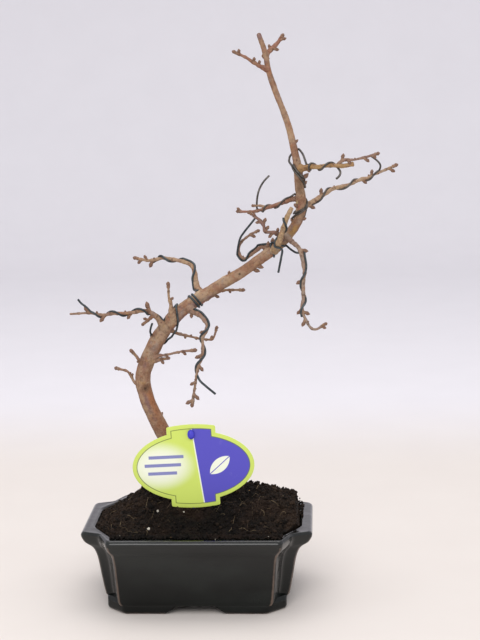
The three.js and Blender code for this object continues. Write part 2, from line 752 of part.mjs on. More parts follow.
function soilOutline() {
  const outline = cavityOutline(cavityLevels.at(-2), gap);
  const points = [];
  outline.forEach((p, i) => {
    const next = outline[(i + 1) % outline.length];
    const parts = Math.max(1, Math.round(p.distanceTo(next) / 12));
    for (let k = 0; k < parts; k += 1) {
      points.push(p.clone().lerp(next, k / parts));
    }
  });
  return points;
}

function soilSolid(labelPeg) {
  const edge = soilOutline();
  const rim = cavityLevels.at(-2);
  const walls = loft([
    ...cavityLevels.slice(0, -1).map((level, i) => ringAt(
      cavityOutline(level, gap),
      level[0] + (i === 0 ? gap : 0),
    )),
    ringAt(cavityOutline(rim, gap), potHeight + 30),
  ]);
  const shares = [1.04, 0.94, 0.86, 0.76, 0.62, 0.46, 0.26];
  const heap = loft([
    edge.map((p) => new THREE.Vector3(p.x * 1.04, p.y * 1.04, 0)),
    ...shares.map((share) => edge.map((p) => {
      const x = p.x * share;
      const y = p.y * share;
      return new THREE.Vector3(x, y, soilHeight(x, y));
    })),
    [new THREE.Vector3(0, 0, soilHeight(0, 0))],
  ]);
  const pocket = meshSide + 2 * gap;
  const cuts = [
    trunk.solid(...trunkGrain, gap),
    ...roots.map((limb) => limb.solid(...rootGrain, gap)),
    labelPeg,
    ...[-drainSpread, drainSpread].map((x) => solidOf(
      boxAt(x, 0, floorTop + meshThickness, pocket, pocket, 2 * meshThickness),
    )),
  ];
  const filled = solidOf(walls).intersect(solidOf(heap));
  return largestBody(cuts.reduce((solid, cut) => solid.subtract(cut), filled));
}

// Plant label

// An oval plate with a square tab above and below, drawn in its own plane.
function labelGeometry() {
  const halfLength = labelLength / 2;
  const halfHeight = labelHeight / 2;
  const start = Math.acos(labelTabHalf / halfLength);
  const bulge = labelTabReach + 3;
  const shape = new THREE.Shape();
  shape.absellipse(0, 0, halfLength, halfHeight, start, -start, true);
  shape.lineTo(labelTabHalf, -labelTabReach);
  shape.quadraticCurveTo(0, -bulge, -labelTabHalf, -labelTabReach);
  shape.absellipse(0, 0, halfLength, halfHeight, Math.PI + start, Math.PI - start, true);
  shape.lineTo(-labelTabHalf, labelTabReach);
  shape.quadraticCurveTo(0, bulge, labelTabHalf, labelTabReach);
  const hole = new THREE.Path();
  hole.absellipse(0, labelHoleHeight, labelHoleRadius, labelHoleRadius, 0, 2 * Math.PI, false);
  shape.holes.push(hole);
  const options = { depth: labelThickness, bevelEnabled: false, curveSegments: 9 };
  return new THREE.ExtrudeGeometry(shape, options);
}

// A flat peg behind the plate, with a round neck through its hole and a knob in front.
function pegSolid(grow) {
  const half = pegWidth / 2 + grow;
  const shape = new THREE.Shape([
    new THREE.Vector2(-half, pegTop + grow),
    new THREE.Vector2(-half, 8 - pegDepth),
    new THREE.Vector2(0, -pegDepth - 1.5 * grow),
    new THREE.Vector2(half, 8 - pegDepth),
    new THREE.Vector2(half, pegTop + grow),
  ]);
  const options = { depth: pegThickness + 2 * grow, bevelEnabled: false };
  const blade = new THREE.ExtrudeGeometry(shape, options);
  const back = -gap - pegThickness - grow;
  const bladeSolid = solidOf(blade.translate(0, 0, back));
  if (grow > 0) {
    return bladeSolid;
  }
  const neck = new THREE.CylinderGeometry(1.9, 1.9, 4, 12).rotateX(Math.PI / 2);
  const knob = new THREE.SphereGeometry(1, 12, 6).scale(2.3, 3.3, 1.5);
  return bladeSolid
    .add(solidOf(neck.translate(0, labelHoleHeight, 0.2)))
    .add(solidOf(knob.translate(0, labelHoleHeight, labelThickness + gap + 1.5)));
}

const materials = {
  bark: new THREE.MeshStandardMaterial({ color: 0x97704e, roughness: 0.85, metalness: 0 }),
  glaze: new THREE.MeshStandardMaterial({ color: 0x14201e, roughness: 0.15, metalness: 0 }),
  soil: new THREE.MeshStandardMaterial({ color: 0x221a15, roughness: 0.95, metalness: 0 }),
  wire: new THREE.MeshStandardMaterial({ color: 0x3a3c3a, roughness: 0.45, metalness: 0.7 }),
  label: new THREE.MeshStandardMaterial({ color: 0xcddc5a, roughness: 0.35, metalness: 0 }),
  peg: new THREE.MeshStandardMaterial({ color: 0x3a36c0, roughness: 0.35, metalness: 0 }),
  netting: new THREE.MeshStandardMaterial({ color: 0x1c1c1c, roughness: 0.6, metalness: 0 }),
};

function namedMesh(name, geometry, material) {
  const mesh = new THREE.Mesh(geometry, material);
  mesh.name = name;
  return mesh;
}

const group = new THREE.Group();

const label = new THREE.Group();
label.position.set(...labelPlace);
label.rotation.set((90 + labelLean) * degrees, 0, labelRoll * degrees);
label.add(namedMesh('label_plate', labelGeometry(), materials.label));
label.add(namedMesh('label_peg', geometryOf(pegSolid(0)), materials.peg));
label.updateMatrixWorld(true);
group.add(label);

const pegHole = solidOf(geometryOf(pegSolid(gap)).applyMatrix4(label.matrixWorld));
group.add(namedMesh('pot', geometryOf(potSolid()), materials.glaze));
group.add(namedMesh('soil', geometryOf(soilSolid(pegHole)), materials.soil));
group.add(namedMesh('tree', geometryOf(treeSolid()), materials.bark));
for (const { name, solid } of wires) {
  group.add(namedMesh(name, geometryOf(solid), materials.wire));
}
for (const [name, x] of [['drain_mesh_left', -drainSpread], ['drain_mesh_right', drainSpread]]) {
  group.add(namedMesh(name, meshGeometry(x), materials.netting));
}

// The origin is under the middle of the object's box.
const middle = new THREE.Box3().setFromObject(group, true).getCenter(new THREE.Vector3());
group.position.set(-middle.x, -middle.y, 0);

export default group;
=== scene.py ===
import bpy
import numpy as np
from mathutils import Matrix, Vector
from mathutils.geometry import tessellate_polygon


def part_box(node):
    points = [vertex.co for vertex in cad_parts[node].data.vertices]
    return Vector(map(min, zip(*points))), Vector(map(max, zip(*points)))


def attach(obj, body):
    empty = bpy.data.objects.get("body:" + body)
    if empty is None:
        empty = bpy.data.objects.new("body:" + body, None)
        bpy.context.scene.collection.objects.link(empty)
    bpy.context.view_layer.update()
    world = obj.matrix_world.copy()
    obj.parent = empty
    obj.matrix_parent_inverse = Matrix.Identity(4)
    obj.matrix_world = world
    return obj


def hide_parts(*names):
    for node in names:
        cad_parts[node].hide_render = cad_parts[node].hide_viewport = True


# A leafless golden larch bonsai in a glazed pot, dressed over its CAD solids. Shapes are worked
# out in millimetres around the middle of the pot, with the front of the tree towards -Y. They
# move into the row frame, in metres, when their meshes are made.

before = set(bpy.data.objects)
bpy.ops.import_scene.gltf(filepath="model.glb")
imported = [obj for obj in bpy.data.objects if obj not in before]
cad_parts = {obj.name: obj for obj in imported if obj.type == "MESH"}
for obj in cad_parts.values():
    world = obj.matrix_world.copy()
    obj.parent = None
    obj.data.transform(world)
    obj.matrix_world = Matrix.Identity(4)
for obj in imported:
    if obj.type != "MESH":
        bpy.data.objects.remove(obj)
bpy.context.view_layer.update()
potLow, potHigh = (np.array(corner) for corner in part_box("pot"))
potMiddle = (potLow + potHigh) / 2 * [1, 1, 0]
front = np.array([0.0, -1.0, 0.0])
millimetre = 0.001
print("frame loaded:", len(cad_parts), "nodes")


# Numbers

# Vectors drawn to a length of 1.
def unit(vectors):
    lengths = np.linalg.norm(vectors, axis=-1, keepdims=True)
    return vectors / np.maximum(lengths, 1e-9)


# A share of the way from the first value to the second.
def mix(first, second, share):
    return first + (second - first) * share


# From 0 at low to 1 at high, with a soft start and end.
def ramp(value, low, high):
    share = np.clip((value - low) / (high - low), 0, 1)
    return share * share * (3 - 2 * share)


# A bell: 1 at nothing, falling off over a width on either side.
def bell(value, width):
    return np.exp(-(value / width) ** 2)


# Evenly spaced turns round a circle, in radians.
def circle(sides):
    return np.linspace(0, 2 * np.pi, sides, endpoint=False)


# Spokes round a centre: one way times the cosine of each turn, plus another times its sine.
def spokes(side, up, turn):
    turn = turn[:, None]
    return side[..., None, :] * np.cos(turn) + up[..., None, :] * np.sin(turn)


hashing = {
    "axes": (73856093, 19349663, 83492791), "seed": 2654435761, "stir": 1274126177,
    "long": 0xffffffff, "short": 0xffff,
}


# Soft random lumps from -1 to 1 at points in millimetres. Each corner of a cubic grid of the
# given size has a random number, hashed from its place, and the eight round a point are blended
# by smoothsteps along the three axes.
def lumps(points, size, seed=0):
    cell = np.floor(points / size)
    part = ramp(points / size - cell, 0, 1)
    cell = cell.astype(np.int64)
    total = 0
    for corner in np.ndindex(2, 2, 2):
        x, y, z = np.moveaxis((cell + corner) * hashing["axes"], -1, 0)
        key = (x ^ y ^ z ^ seed * hashing["seed"]) & hashing["long"]
        key = (key ^ key >> 13) * hashing["stir"] & hashing["long"]
        key = (key ^ key >> 16) & hashing["short"]
        weight = np.prod(np.where(corner, part, 1 - part), axis=-1)
        total = total + weight * (2 * key / hashing["short"] - 1)
    return total


# Lumps of several sizes on top of each other, from rows of [height, size, seed].
def layers(points, rows):
    return sum(height * lumps(points, size, seed) for height, size, seed in rows)


# Meshes

# A new object in the scene.
def linked(name, data):
    thing = bpy.data.objects.new(name, data)
    bpy.context.scene.collection.objects.link(thing)
    return thing


# Collects grids of points and turns them into one mesh. Marks are numbers or vectors kept at
# every point for the materials.
class Skin:
    def __init__(self):
        self.points = []
        self.faces = []
        self.marks = {}
        self.count = 0

    # Points with faces by index. A mark is one value for all of them, or one for each.
    def add(self, points, faces, marks):
        points = points.reshape(-1, 3)
        for name in {*self.marks, *marks}:
            rows = self.marks.setdefault(name, [])
            value = np.asarray(marks.get(name, 0.0), float)
            rows.append((self.count, len(points), value))
        self.points.append(points)
        self.faces += [face + self.count for face in faces]
        self.count += len(points)

    # Many grids of the same size at once, as [which, row, column]. Columns run round each shape
    # and rows along it, counter-clockwise seen from its far end. A pole closes an end.
    def grids(self, points, start=None, end=None, around=True, **marks):
        which, rows, columns = points.shape[:3]
        index = np.arange(which * rows * columns).reshape(which, rows, columns)
        beside = np.roll(index, -1, axis=2)
        if not around:
            index, beside = index[:, :, :-1], beside[:, :, :-1]
        quads = np.stack([index[:, :-1], beside[:, :-1], beside[:, 1:], index[:, 1:]], axis=-1)
        faces = [quads.reshape(-1, 4)]
        parts = [points.reshape(-1, 3)]
        values = {name: [self.spread(value, points)] for name, value in marks.items()}
        total = which * rows * columns
        for pole, row in ((start, 0), (end, -1)):
            if pole is None:
                continue
            top = np.broadcast_to(np.arange(total, total + which)[:, None], index[:, row].shape)
            ring = [index[:, row], beside[:, row]]
            ring = ring[::-1] if row == 0 else ring
            faces.append(np.stack([*ring, top], axis=-1).reshape(-1, 3))
            parts.append(np.asarray(pole, float).reshape(-1, 3))
            for name, value in marks.items():
                full = self.spread(value, points).reshape(which, rows, columns, -1)
                values[name].append(full[:, row].mean(axis=1))
            total += which
        self.add(np.concatenate(parts), faces,
                 {name: np.concatenate(value).squeeze() for name, value in values.items()})

    # A mark as one row for each point, from a number, a grid of numbers or a grid of vectors.
    @staticmethod
    def spread(value, points):
        value = np.asarray(value, float)
        if value.shape[:3] == points.shape[:3] and value.ndim == 4:
            return value.reshape(-1, value.shape[-1])
        return np.broadcast_to(value, points.shape[:3]).reshape(-1, 1)

    # The mesh as an object, in the row frame. Its marks become attributes of its points.
    def build(self, name, material, flat=False):
        points = np.concatenate(self.points) * millimetre + potMiddle
        mesh = bpy.data.meshes.new(name)
        mesh.vertices.add(len(points))
        mesh.vertices.foreach_set("co", points.astype(np.float32).ravel())
        sizes = np.concatenate([np.full(len(face), face.shape[1]) for face in self.faces])
        corners = np.concatenate([face.ravel() for face in self.faces])
        mesh.loops.add(len(corners))
        mesh.loops.foreach_set("vertex_index", corners.astype(np.int32))
        mesh.polygons.add(len(sizes))
        mesh.polygons.foreach_set("loop_start", (np.cumsum(sizes) - sizes).astype(np.int32))
        mesh.polygons.foreach_set("use_smooth", np.full(len(sizes), not flat))
        mesh.update(calc_edges=True)
        mesh.validate()
        for mark, rows in self.marks.items():
            width = max(value.shape[-1] if value.ndim > 1 else 1 for _, _, value in rows)
            full = np.zeros((self.count, width), np.float32)
            for start, count, value in rows:
                full[start:start + count] = value.reshape(-1, width) if value.ndim else value
            kind, field = ("FLOAT", "value") if width == 1 else ("FLOAT_VECTOR", "vector")
            attribute = mesh.attributes.new(mark, kind, "POINT")
            attribute.data.foreach_set(field, full.ravel())
        mesh.materials.append(material)
        return linked(name, mesh)

    # The finished piece, which takes the place of the nodes it is named for.
    def make(self, name, material, nodes, flat=False):
        piece = self.build(name, material, flat)
        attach(piece, "root")
        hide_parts(*nodes)
        print(name, "made:", sum(len(f) * (f.shape[1] - 2) for f in self.faces), "triangles")


# Materials

# A colour from six hex digits, brought from sRGB to linear light.
def colour(text):
    parts = np.array([int(text[i:i + 2], 16) / 255 for i in (0, 2, 4)])
    linear = np.where(parts <= 0.04045, parts / 12.92, ((parts + 0.055) / 1.055) ** 2.4)
    return (*linear.tolist(), 1.0)


# A shader socket that Python can add, subtract, multiply and divide.
class Field:
    def __init__(self, paint, output):
        self.paint = paint
        self.output = output

    def __add__(self, other):
        return self.paint.maths("ADD", self, other)

    __radd__ = __add__

    def __sub__(self, other):
        return self.paint.maths("SUBTRACT", self, other)

    def __rsub__(self, other):
        return self.paint.maths("SUBTRACT", other, self)

    def __mul__(self, other):
        return self.paint.maths("MULTIPLY", self, other)

    __rmul__ = __mul__

    def __truediv__(self, other):
        return self.paint.maths("DIVIDE", self, other)

    # A soft step: 0 below low, 1 above high.
    def step(self, low, high):
        return self.paint.value("ShaderNodeMapRange", {"interpolation_type": "SMOOTHSTEP"},
                                {"Value": self, "From Min": low, "From Max": high}, "Result")


# A material whose patterns are measured in millimetres. Values given by name at the start are
# the same all over it.
class Paint:
    def __init__(self, name, **fixed):
        self.material = bpy.data.materials.new(name)
        self.material.use_nodes = True
        self.tree = self.material.node_tree
        self.tree.nodes.clear()
        fixed = {self.socket(key): value for key, value in fixed.items()}
        self.shader = self.node("ShaderNodeBsdfPrincipled", {}, fixed)
        self.node("ShaderNodeOutputMaterial", {}, {"Surface": Field(self, self.shader.outputs[0])})
        place = self.value("ShaderNodeTexCoord", {}, {}, "Object")
        self.place = self.vector("SCALE", place, {"Scale": 1 / millimetre})

    # The shader's own name for a socket, such as Base Color for base_color.
    @staticmethod
    def socket(name):
        return name.replace("_", " ").title().replace("Ior", "IOR")

    # A node of any kind. Its settings go first, then the values or links of its sockets.
    def node(self, kind, settings, inputs):
        node = self.tree.nodes.new(kind)
        for key, value in settings.items():
            setattr(node, key, value)
        for key, value in inputs.items():
            if isinstance(value, Field):
                self.tree.links.new(value.output, node.inputs[key])
            else:
                node.inputs[key].default_value = value
        return node

    # One output of a new node, to go on reckoning with.
    def value(self, kind, settings, inputs, output=0):
        return Field(self, self.node(kind, settings, inputs).outputs[output])

    def maths(self, operation, first, second=0.0):
        return self.value("ShaderNodeMath", {"operation": operation}, {0: first, 1: second})

    # How large a value is, whatever its sign.
    def size(self, value):
        return self.maths("ABSOLUTE", value)

    def vector(self, operation, first, others):
        return self.value("ShaderNodeVectorMath", {"operation": operation},
                          {0: first, **others}, "Vector")

    # The x, y and z of a vector.
    def axes(self, vector):
        outputs = self.node("ShaderNodeSeparateXYZ", {}, {0: vector}).outputs
        return [Field(self, output) for output in outputs]

    # A mark of the mesh.
    def mark(self, name, output="Fac"):
        return self.value("ShaderNodeAttribute", {"attribute_name": name}, {}, output)

    # Cloudy noise with clouds of a size in millimetres.
    def noise(self, size, detail, roughness, at=None, seed=0.0):
        return self.value("ShaderNodeTexNoise", {"noise_dimensions": "4D"},
                          {"Vector": at or self.place, "W": seed, "Scale": 1 / size,
                           "Detail": detail, "Roughness": roughness})

    # The distance to the nearest of many scattered spots, as a share of their spacing.
    def cells(self, size):
        return self.value("ShaderNodeTexVoronoi", {"feature": "F1"},
                          {"Vector": self.place, "Scale": 1 / size}, "Distance")

    # A share of the way from the first colour to the second.
    def blend(self, share, first, second):
        return self.value("ShaderNodeMix", {"data_type": "RGBA"}, {0: share, 6: first, 7: second},
                          2)

    # Feeds the sockets of the shader, and a relief in millimetres as its bump.
    def use(self, relief, strength, **sockets):
        for name, value in sockets.items():
            self.tree.links.new(value.output, self.shader.inputs[self.socket(name)])
        bump = self.value("ShaderNodeBump", {}, {"Height": relief, "Strength": strength,
                                                 "Distance": millimetre})
        self.tree.links.new(bump.output, self.shader.inputs["Normal"])
        return self.material


# Limbs

# A smooth centre line through stations [x, y, z, radius]. Between two stations it is the cubic
# whose slopes are half the way from the station before to the one after.
class Limb:
    fineness = 40

    def __init__(self, stations, tipBud=0.0):
        stations = np.array(stations, float)
        points = stations[:, :3]
        padded = np.vstack([2 * points[0] - points[1], points, 2 * points[-1] - points[-2]])
        t = np.linspace(0, len(points) - 1, (len(points) - 1) * self.fineness + 1)
        low = np.minimum(t.astype(int), len(points) - 2)
        s = (t - low)[:, None]
        before, start, end, after = (padded[low + i] for i in range(4))
        self.line = ((2 * s ** 3 - 3 * s ** 2 + 1) * start
                     + (s ** 3 - 2 * s ** 2 + s) * (end - before) / 2
                     + (3 * s ** 2 - 2 * s ** 3) * end
                     + (s ** 3 - s ** 2) * (after - start) / 2)
        steps = np.linalg.norm(np.diff(self.line, axis=0), axis=1)
        self.reach = np.concatenate([[0], np.cumsum(steps)])
        self.length = self.reach[-1]
        self.slopes = unit(np.gradient(self.line, self.reach, axis=0))
        self.thickness = np.interp(t, np.arange(len(points)), stations[:, 3])
        self.tipBud = tipBud

    # Rows kept along the line, read off at distances.
    def follow(self, rows, distance):
        return np.stack([np.interp(distance, self.reach, row) for row in rows.T], axis=-1)

    def place(self, distance):
        return self.follow(self.line, distance)

    def along(self, distance):
        return unit(self.follow(self.slopes, distance))

    def radius(self, distance):
        return np.interp(distance, self.reach, self.thickness)

    # The way out of the limb at an angle in degrees: 0 faces the viewer, and 90 is to the
    # right on a limb that rises, below one that runs right, and above one that runs left.
    def outward(self, distance, angle):
        along = self.along(distance)
        facing = unit(front - along * (along @ front)[..., None])
        beside = np.cross(along, facing)
        turn = np.radians(angle)[..., None]
        return facing * np.cos(turn) + beside * np.sin(turn)

    def atHeight(self, z):
        return np.interp(z, self.line[:, 2], self.reach)

    # The distance at which this limb comes out of the one that it grows on, and the place.
    def exit(self, parent):
        some = slice(None, None, 4)
        gaps = np.linalg.norm(self.line[:, None] - parent.line[some], axis=-1)
        nearest = gaps.argmin(axis=1)
        outside = gaps.min(axis=1) > parent.thickness[some][nearest]
        first = int(np.argmax(outside)) if outside.any() else 0
        return self.reach[first], self.line[first]


# The trunk leans left out of the soil, turns right in a long bow and rises to a thin leader.
trunk = Limb([
    [-6, 5, 36, 6.4], [-7, 5, 52, 6.6], [-9, 4, 68, 6], [-14, 3, 85, 5.5], [-22, 1, 106, 5.1],
    [-30, -1, 124, 5], [-34.5, -3, 139, 4.9], [-35, -4, 148, 4.9], [-32, -5, 158, 5],
    [-26, -5, 170, 4.9], [-18, -4, 182, 4.8], [-9, -2, 191, 4.4], [3, 0, 199, 4],
    [16, 2, 207, 3.6], [30, 3, 215, 3.4], [43, 4, 224, 3.4], [55, 3, 233, 3.4],
    [64, 1, 243, 3.1], [68.5, -2, 252, 3.1], [70, -4, 261, 3.2], [69, -6, 272, 3],
    [68, -6, 284, 2.8], [66, -5, 295, 2.4], [63, -3, 308, 2.1], [59, -1, 320, 1.95],
    [54, 1, 333, 1.9], [50, 3, 345, 1.8], [48, 4, 356, 1.7], [44, 5, 368, 1.55],
])

# Branches, each from inside the limb that it grows on out to its tip.
lowLeft = Limb([
    [-18, -6, 178, 2.2], [-22, -11, 185, 1.7], [-25, -14, 190, 1.5], [-29, -16, 193, 1.3],
    [-34, -19, 194, 1.2], [-40, -21, 193, 1.1], [-51, -26, 193.5, 1], [-56, -28, 193, 1],
    [-61, -30, 194, 0.95], [-65, -31, 195, 0.8], [-71, -33, 195, 0.7], [-77, -35, 195, 0.7],
])
highLeft = Limb([
    [5, 2, 200, 2.4], [1.5, 7, 204, 2], [0, 11, 209, 1.6], [-1, 14, 214, 1.5],
    [-3, 17, 218, 1.4], [-7, 19, 220, 1.3], [-12, 22, 221, 1.2], [-22, 27, 222, 1.1],
    [-27, 29, 221, 1.1], [-31, 31, 220, 1], [-35, 32, 220, 0.9], [-41, 34, 221, 0.8],
], 3.8)
lowHanging = Limb([
    [-4, -3, 193, 2.2], [1, -10, 191, 1.7], [4, -14, 190, 1.5], [7, -16, 187, 1.3],
    [9, -18, 184, 1.2], [8, -19, 180, 1.1], [6, -20, 176, 1.05], [6, -21, 172, 1],
    [6, -22, 167, 1], [5, -23, 163, 1], [3, -24, 158, 0.9], [1, -25, 147, 0.75],
    [0, -26, 141, 0.8], [-1, -26, 135, 0.9],
], 3.8)
loopBranch = Limb([
    [49, 6, 229, 1.7], [44, 11, 231, 1.3], [40, 14, 228, 1.1], [36, 17, 225, 1.1],
    [32, 19, 222, 1], [29, 21, 224, 0.9], [28, 22, 228, 0.8], [30, 22, 233, 0.75],
    [36, 20, 238, 0.75], [40, 19, 240, 0.7],
], 3.2)
spurBranch = Limb([
    [59, 1, 237.5, 1.8], [54, -8, 242, 1.4], [51, -11, 243, 1.1], [47, -13, 244, 1],
    [46, -15, 248, 1], [44, -16, 251, 1], [42, -17, 253, 0.9], [38, -18, 256, 0.8],
], 3.2)
crossBranch = Limb([
    [69, -3, 264, 1.8], [65, 2, 263, 1.4], [60, 6, 261, 1.3], [55, 10, 259, 1.2],
    [50, 14, 257, 1.1], [40, 20, 253.5, 0.95], [35, 22, 253, 0.8], [29, 24, 253, 0.75],
], 3.2)
stubBranch = Limb([
    [68, -5, 283, 2], [73, -11, 284, 1.7], [77, -14, 285, 1.5], [82, -17, 285, 1.35],
    [87, -19, 286, 1.3], [97, -23, 286, 1.3], [103, -24, 287, 1.4],
])
stubTwig = Limb([
    [93, -21, 286, 0.9], [97, -23, 289.5, 0.9], [104, -26, 290, 0.75],
    [112, -29, 292, 0.75], [117, -30, 293.5, 0.7],
], 3.2)
longRight = Limb([
    [69, -2, 256, 1.9], [74, 4, 259, 1.6], [78, 8, 261, 1.4], [82, 12, 263, 1.4],
    [87, 15, 266, 1.3], [91, 18, 268, 1.2], [96, 20, 269, 1.2], [101, 22, 270, 1.1],
    [109, 26, 273, 1.1], [114, 28, 274, 1], [118, 29, 276, 0.9], [126, 31, 279, 0.85],
    [131, 33, 281, 0.75],
], 3.8)
highHanging = Limb([
    [60, 0, 239, 2], [64, -6, 236, 1.5], [68, -10, 233, 1.35], [70, -13, 229, 1.3],
    [71, -15, 224, 1.25], [72, -17, 218, 1.2], [71, -18, 212, 1.2], [71, -20, 201, 1.1],
    [70, -20, 196, 1], [71, -21, 191, 0.9], [75, -23, 183.5, 0.8], [79, -24, 182, 0.7],
    [84, -25, 185, 0.7],
], 3)
paleStub = Limb([
    [52, 2.5, 229.5, 2.2], [53.3, -3, 231.5, 2], [55, -9, 235, 1.9], [57, -12, 241, 1.7],
    [59, -14, 247, 1.55], [61, -16, 253, 1.4], [64, -17, 259, 1.3],
])

# Thin twigs and short spurs.
lowestTwig = Limb([
    [-32, -2, 139, 1.5], [-41, 3, 142, 1], [-44, 6, 146, 0.8], [-47, 8, 149, 0.75],
    [-53, 11, 150, 0.75],
], 3.8)
lowSpur = Limb([
    [-32, -4, 153, 1.4], [-36, -10, 159, 1], [-38, -13, 163, 0.95], [-40, -15, 166, 0.9],
], 3.8)
rightTwig = Limb([
    [-30, -6, 160, 1.5], [-23, -11, 163, 0.9], [-19, -14, 164, 0.75], [-8, -18, 167, 0.7],
    [-1, -20, 168, 0.9],
], 4)
rightSpur = Limb([
    [-29, -6, 158, 1.4], [-22, -11, 160.5, 1], [-18, -13, 161.5, 0.85],
], 2.8)
forkTwig = Limb([
    [-19, -2, 180, 1.6], [-13, 5, 175, 0.95], [-4, 13, 171, 0.8], [2, 16, 169, 0.75],
    [9, 19, 168, 0.7], [11, 21, 170.5, 0.65], [12, 22, 174, 0.8],
], 3.2)
downSpur = Limb([
    [-26, -15, 190.5, 1.1], [-30, -11, 186.5, 0.95], [-33, -9, 184, 0.85],
], 2.8)
uprightTwig = Limb([
    [-14, -4, 184, 2.6], [-15, -8, 191, 1.6], [-15, -10, 197, 1], [-16, -12, 202, 0.8],
    [-16, -14, 209, 0.8],
], 3.8)
underTwig = Limb([
    [3, 2, 197.5, 1.5], [7, 7, 197, 1.1], [11, 10, 199, 1], [15, 12, 201, 0.9],
    [20, 14, 202, 0.75], [29, 17, 201.5, 0.8],
], 3.8)
crossTwig = Limb([
    [47, 16, 256, 0.9], [43, 15.5, 257.5, 0.7], [39, 16, 257.5, 0.65],
], 2.4)
topLeft = Limb([
    [49.5, 3, 346, 1.5], [45, -1, 348, 1.2], [42, -4, 350, 1.1], [39, -6, 352, 1],
    [36, -8, 354, 0.8], [30, -11, 357, 0.8],
], 3.4)
topRight = Limb([
    [47.5, 4, 354, 1.5], [50, 8, 357, 1.4], [53, 11, 360, 1.3], [56, 13, 363, 1.1],
    [58, 15, 366, 0.9],
], 3.8)

# Roots that spread from the foot of the trunk and sink into the soil.
roots = [
    Limb([[-9, 5, 70, 3.6], [0, 7, 67, 2.4], [8, 10, 60, 1.7], [13, 12, 52, 1.1]]),
    Limb([[-9, 5, 70, 3.4], [-10, 13, 67, 2.3], [-12, 20, 59, 1.5], [-14, 24, 51, 1]]),
    Limb([[-9, 5, 70, 3.6], [-17, 7, 66.5, 2.5], [-25, 10, 59, 1.7], [-30, 11, 51, 1.1]]),
    Limb([[-9, 5, 70, 3.2], [-14, -2, 66.5, 2.2], [-20, -8, 58, 1.4], [-23, -11, 50, 1]]),
]

# What each limb grows on, and its own buds as [distance along it, angle, length].
growth = [
    (lowestTwig, trunk, [[16, 60, 2.2]]),
    (lowSpur, trunk, [[9, 250, 1.8]]),
    (rightTwig, trunk, [[14, 110, 2.6], [27, 100, 3]]),
    (rightSpur, rightTwig, [[9, 60, 3.4]]),
    (forkTwig, trunk, [[18, 90, 2], [30, 90, 2.4], [37.5, 250, 2.6]]),
    (downSpur, lowLeft, [[7, 90, 3]]),
    (uprightTwig, trunk, [[17, 90, 2.8]]),
    (underTwig, trunk, [[13, 80, 3.4], [24, 90, 2]]),
    (topLeft, trunk, [[8, 90, 3], [13, 60, 3.4], [24.5, 70, 3.2]]),
    (topRight, trunk, [[8, 270, 3], [10, 90, 3.6], [18, 60, 3.6]]),
    (lowLeft, trunk, [[21.5, 100, 6], [34, 270, 3.8], [51.5, 280, 4.8], [62, 85, 4.6]]),
    (highLeft, trunk, [[57, 270, 5], [61, 90, 3.4], [65, 260, 3.8]]),
    (lowHanging, trunk, [[5, 80, 4], [27, 95, 3.6], [43, 90, 4.4], [50, 270, 4.2], [61, 90, 3.6],
                         [69, 270, 4.4], [73, 90, 4.6]]),
    (loopBranch, trunk, [[47, 60, 4]]),
    (spurBranch, trunk, [[11, 90, 3.4], [15, 270, 3.6], [21, 80, 4], [26, 90, 4], [28, 270, 3],
                         [34, 30, 3]]),
    (crossBranch, trunk, [[50, 60, 3.2]]),
    (crossTwig, crossBranch, []),
    (stubBranch, trunk, [[9, 90, 2.6]]),
    (stubTwig, stubBranch, [[5, 250, 4], [9, 90, 3.2], [20, 90, 3.8], [25.5, 50, 3]]),
    (longRight, trunk, [[9, 80, 4.6], [22, 270, 4.4], [54, 90, 3.8], [61, 270, 3.6],
                        [74, 90, 4.2]]),
    (highHanging, trunk, [[17, 270, 4.6], [37, 90, 4.4], [56, 90, 3.8], [57.5, 270, 4.4],
                          [63, 90, 4.4], [77, 60, 3]]),
    (paleStub, trunk, []),
]

# The trunk's own buds, as [height, angle, length].
trunkBuds = [
    [118, 95, 2.8], [211, 270, 3], [219, 90, 5], [221, 60, 5], [228.5, 280, 5],
    [230.5, 250, 5], [232, 305, 4], [247, 270, 3], [251, 60, 4], [258, 310, 4.6],
    [262, 285, 4], [270, 200, 2.6], [276, 80, 5.6], [272, 100, 3.8], [299, 80, 2.6],
]


# Tree

# Rows of relief are [height, size, seed], and a dome's are [how far ahead, how wide].
treeLook = {
    "trunkSides": 56, "trunkStep": 0.8, "trunkStart": 8.0, "branchSides": 20, "branchStep": 0.75,
    "twigSides": 14, "twigStep": 0.65, "twigUnder": 1.0, "rootSides": 24, "rootStep": 0.7,
    "dome": ((0.22, 0.93), (0.38, 0.72), (0.46, 0.4)), "domeTop": 0.48,
    "grainStretch": 0.16, "grainShift": 37.0, "fullRadius": 5.0, "thinning": 0.8,
    "trunkStretch": (1, 1, 0.6), "trunkWaves": ((0.34, 7, 0),), "trunkLumps": ((0.204, 3, 9),),
    "trunkGrain": ((0.14, 1.25, 3), (0.07, 0.6, 5)), "trunkFine": ((0.12, 1.1, 7),),
    "scarRim": 0.4, "scarPit": 1.1, "paleRise": 0.35,
    "rootLumps": ((0.3, 3.5, 0),), "rootGrain": ((0.2, 1.1, 3),),
    "branchLumps": ((0.15, 2.6, 0),), "branchGrain": ((0.075, 0.7, 3),),
    "collar": 0.5, "collarRun": 1.3, "carrierCollar": 0.34, "carrierReach": 1.5,
    "nodeSwelling": 0.26, "nodeWidth": 0.9, "stainShift": 0.7, "stainLumps": ((1, 1.7, 21),),
    "scarSpacing": 6.5, "scarStart": 4.0, "scarJitter": 1.5,
    "budThick": 0.45, "budShare": 0.17, "budSides": 10, "budSink": 0.55, "budLean": (0.8, 0.6),
    "budFoot": 0.3, "budScales": 0.09, "tipExtra": 0.15, "leaderBud": (1.5, 1.2),
    "smallBud": (0.7, 1.4), "smallBudEnds": (5, 8), "smallBudJitter": 1.2,
    "trunkBudRange": (200, 356, 9.0), "trunkBudJitter": 3, "seed": 11, "budSeed": 5,
}


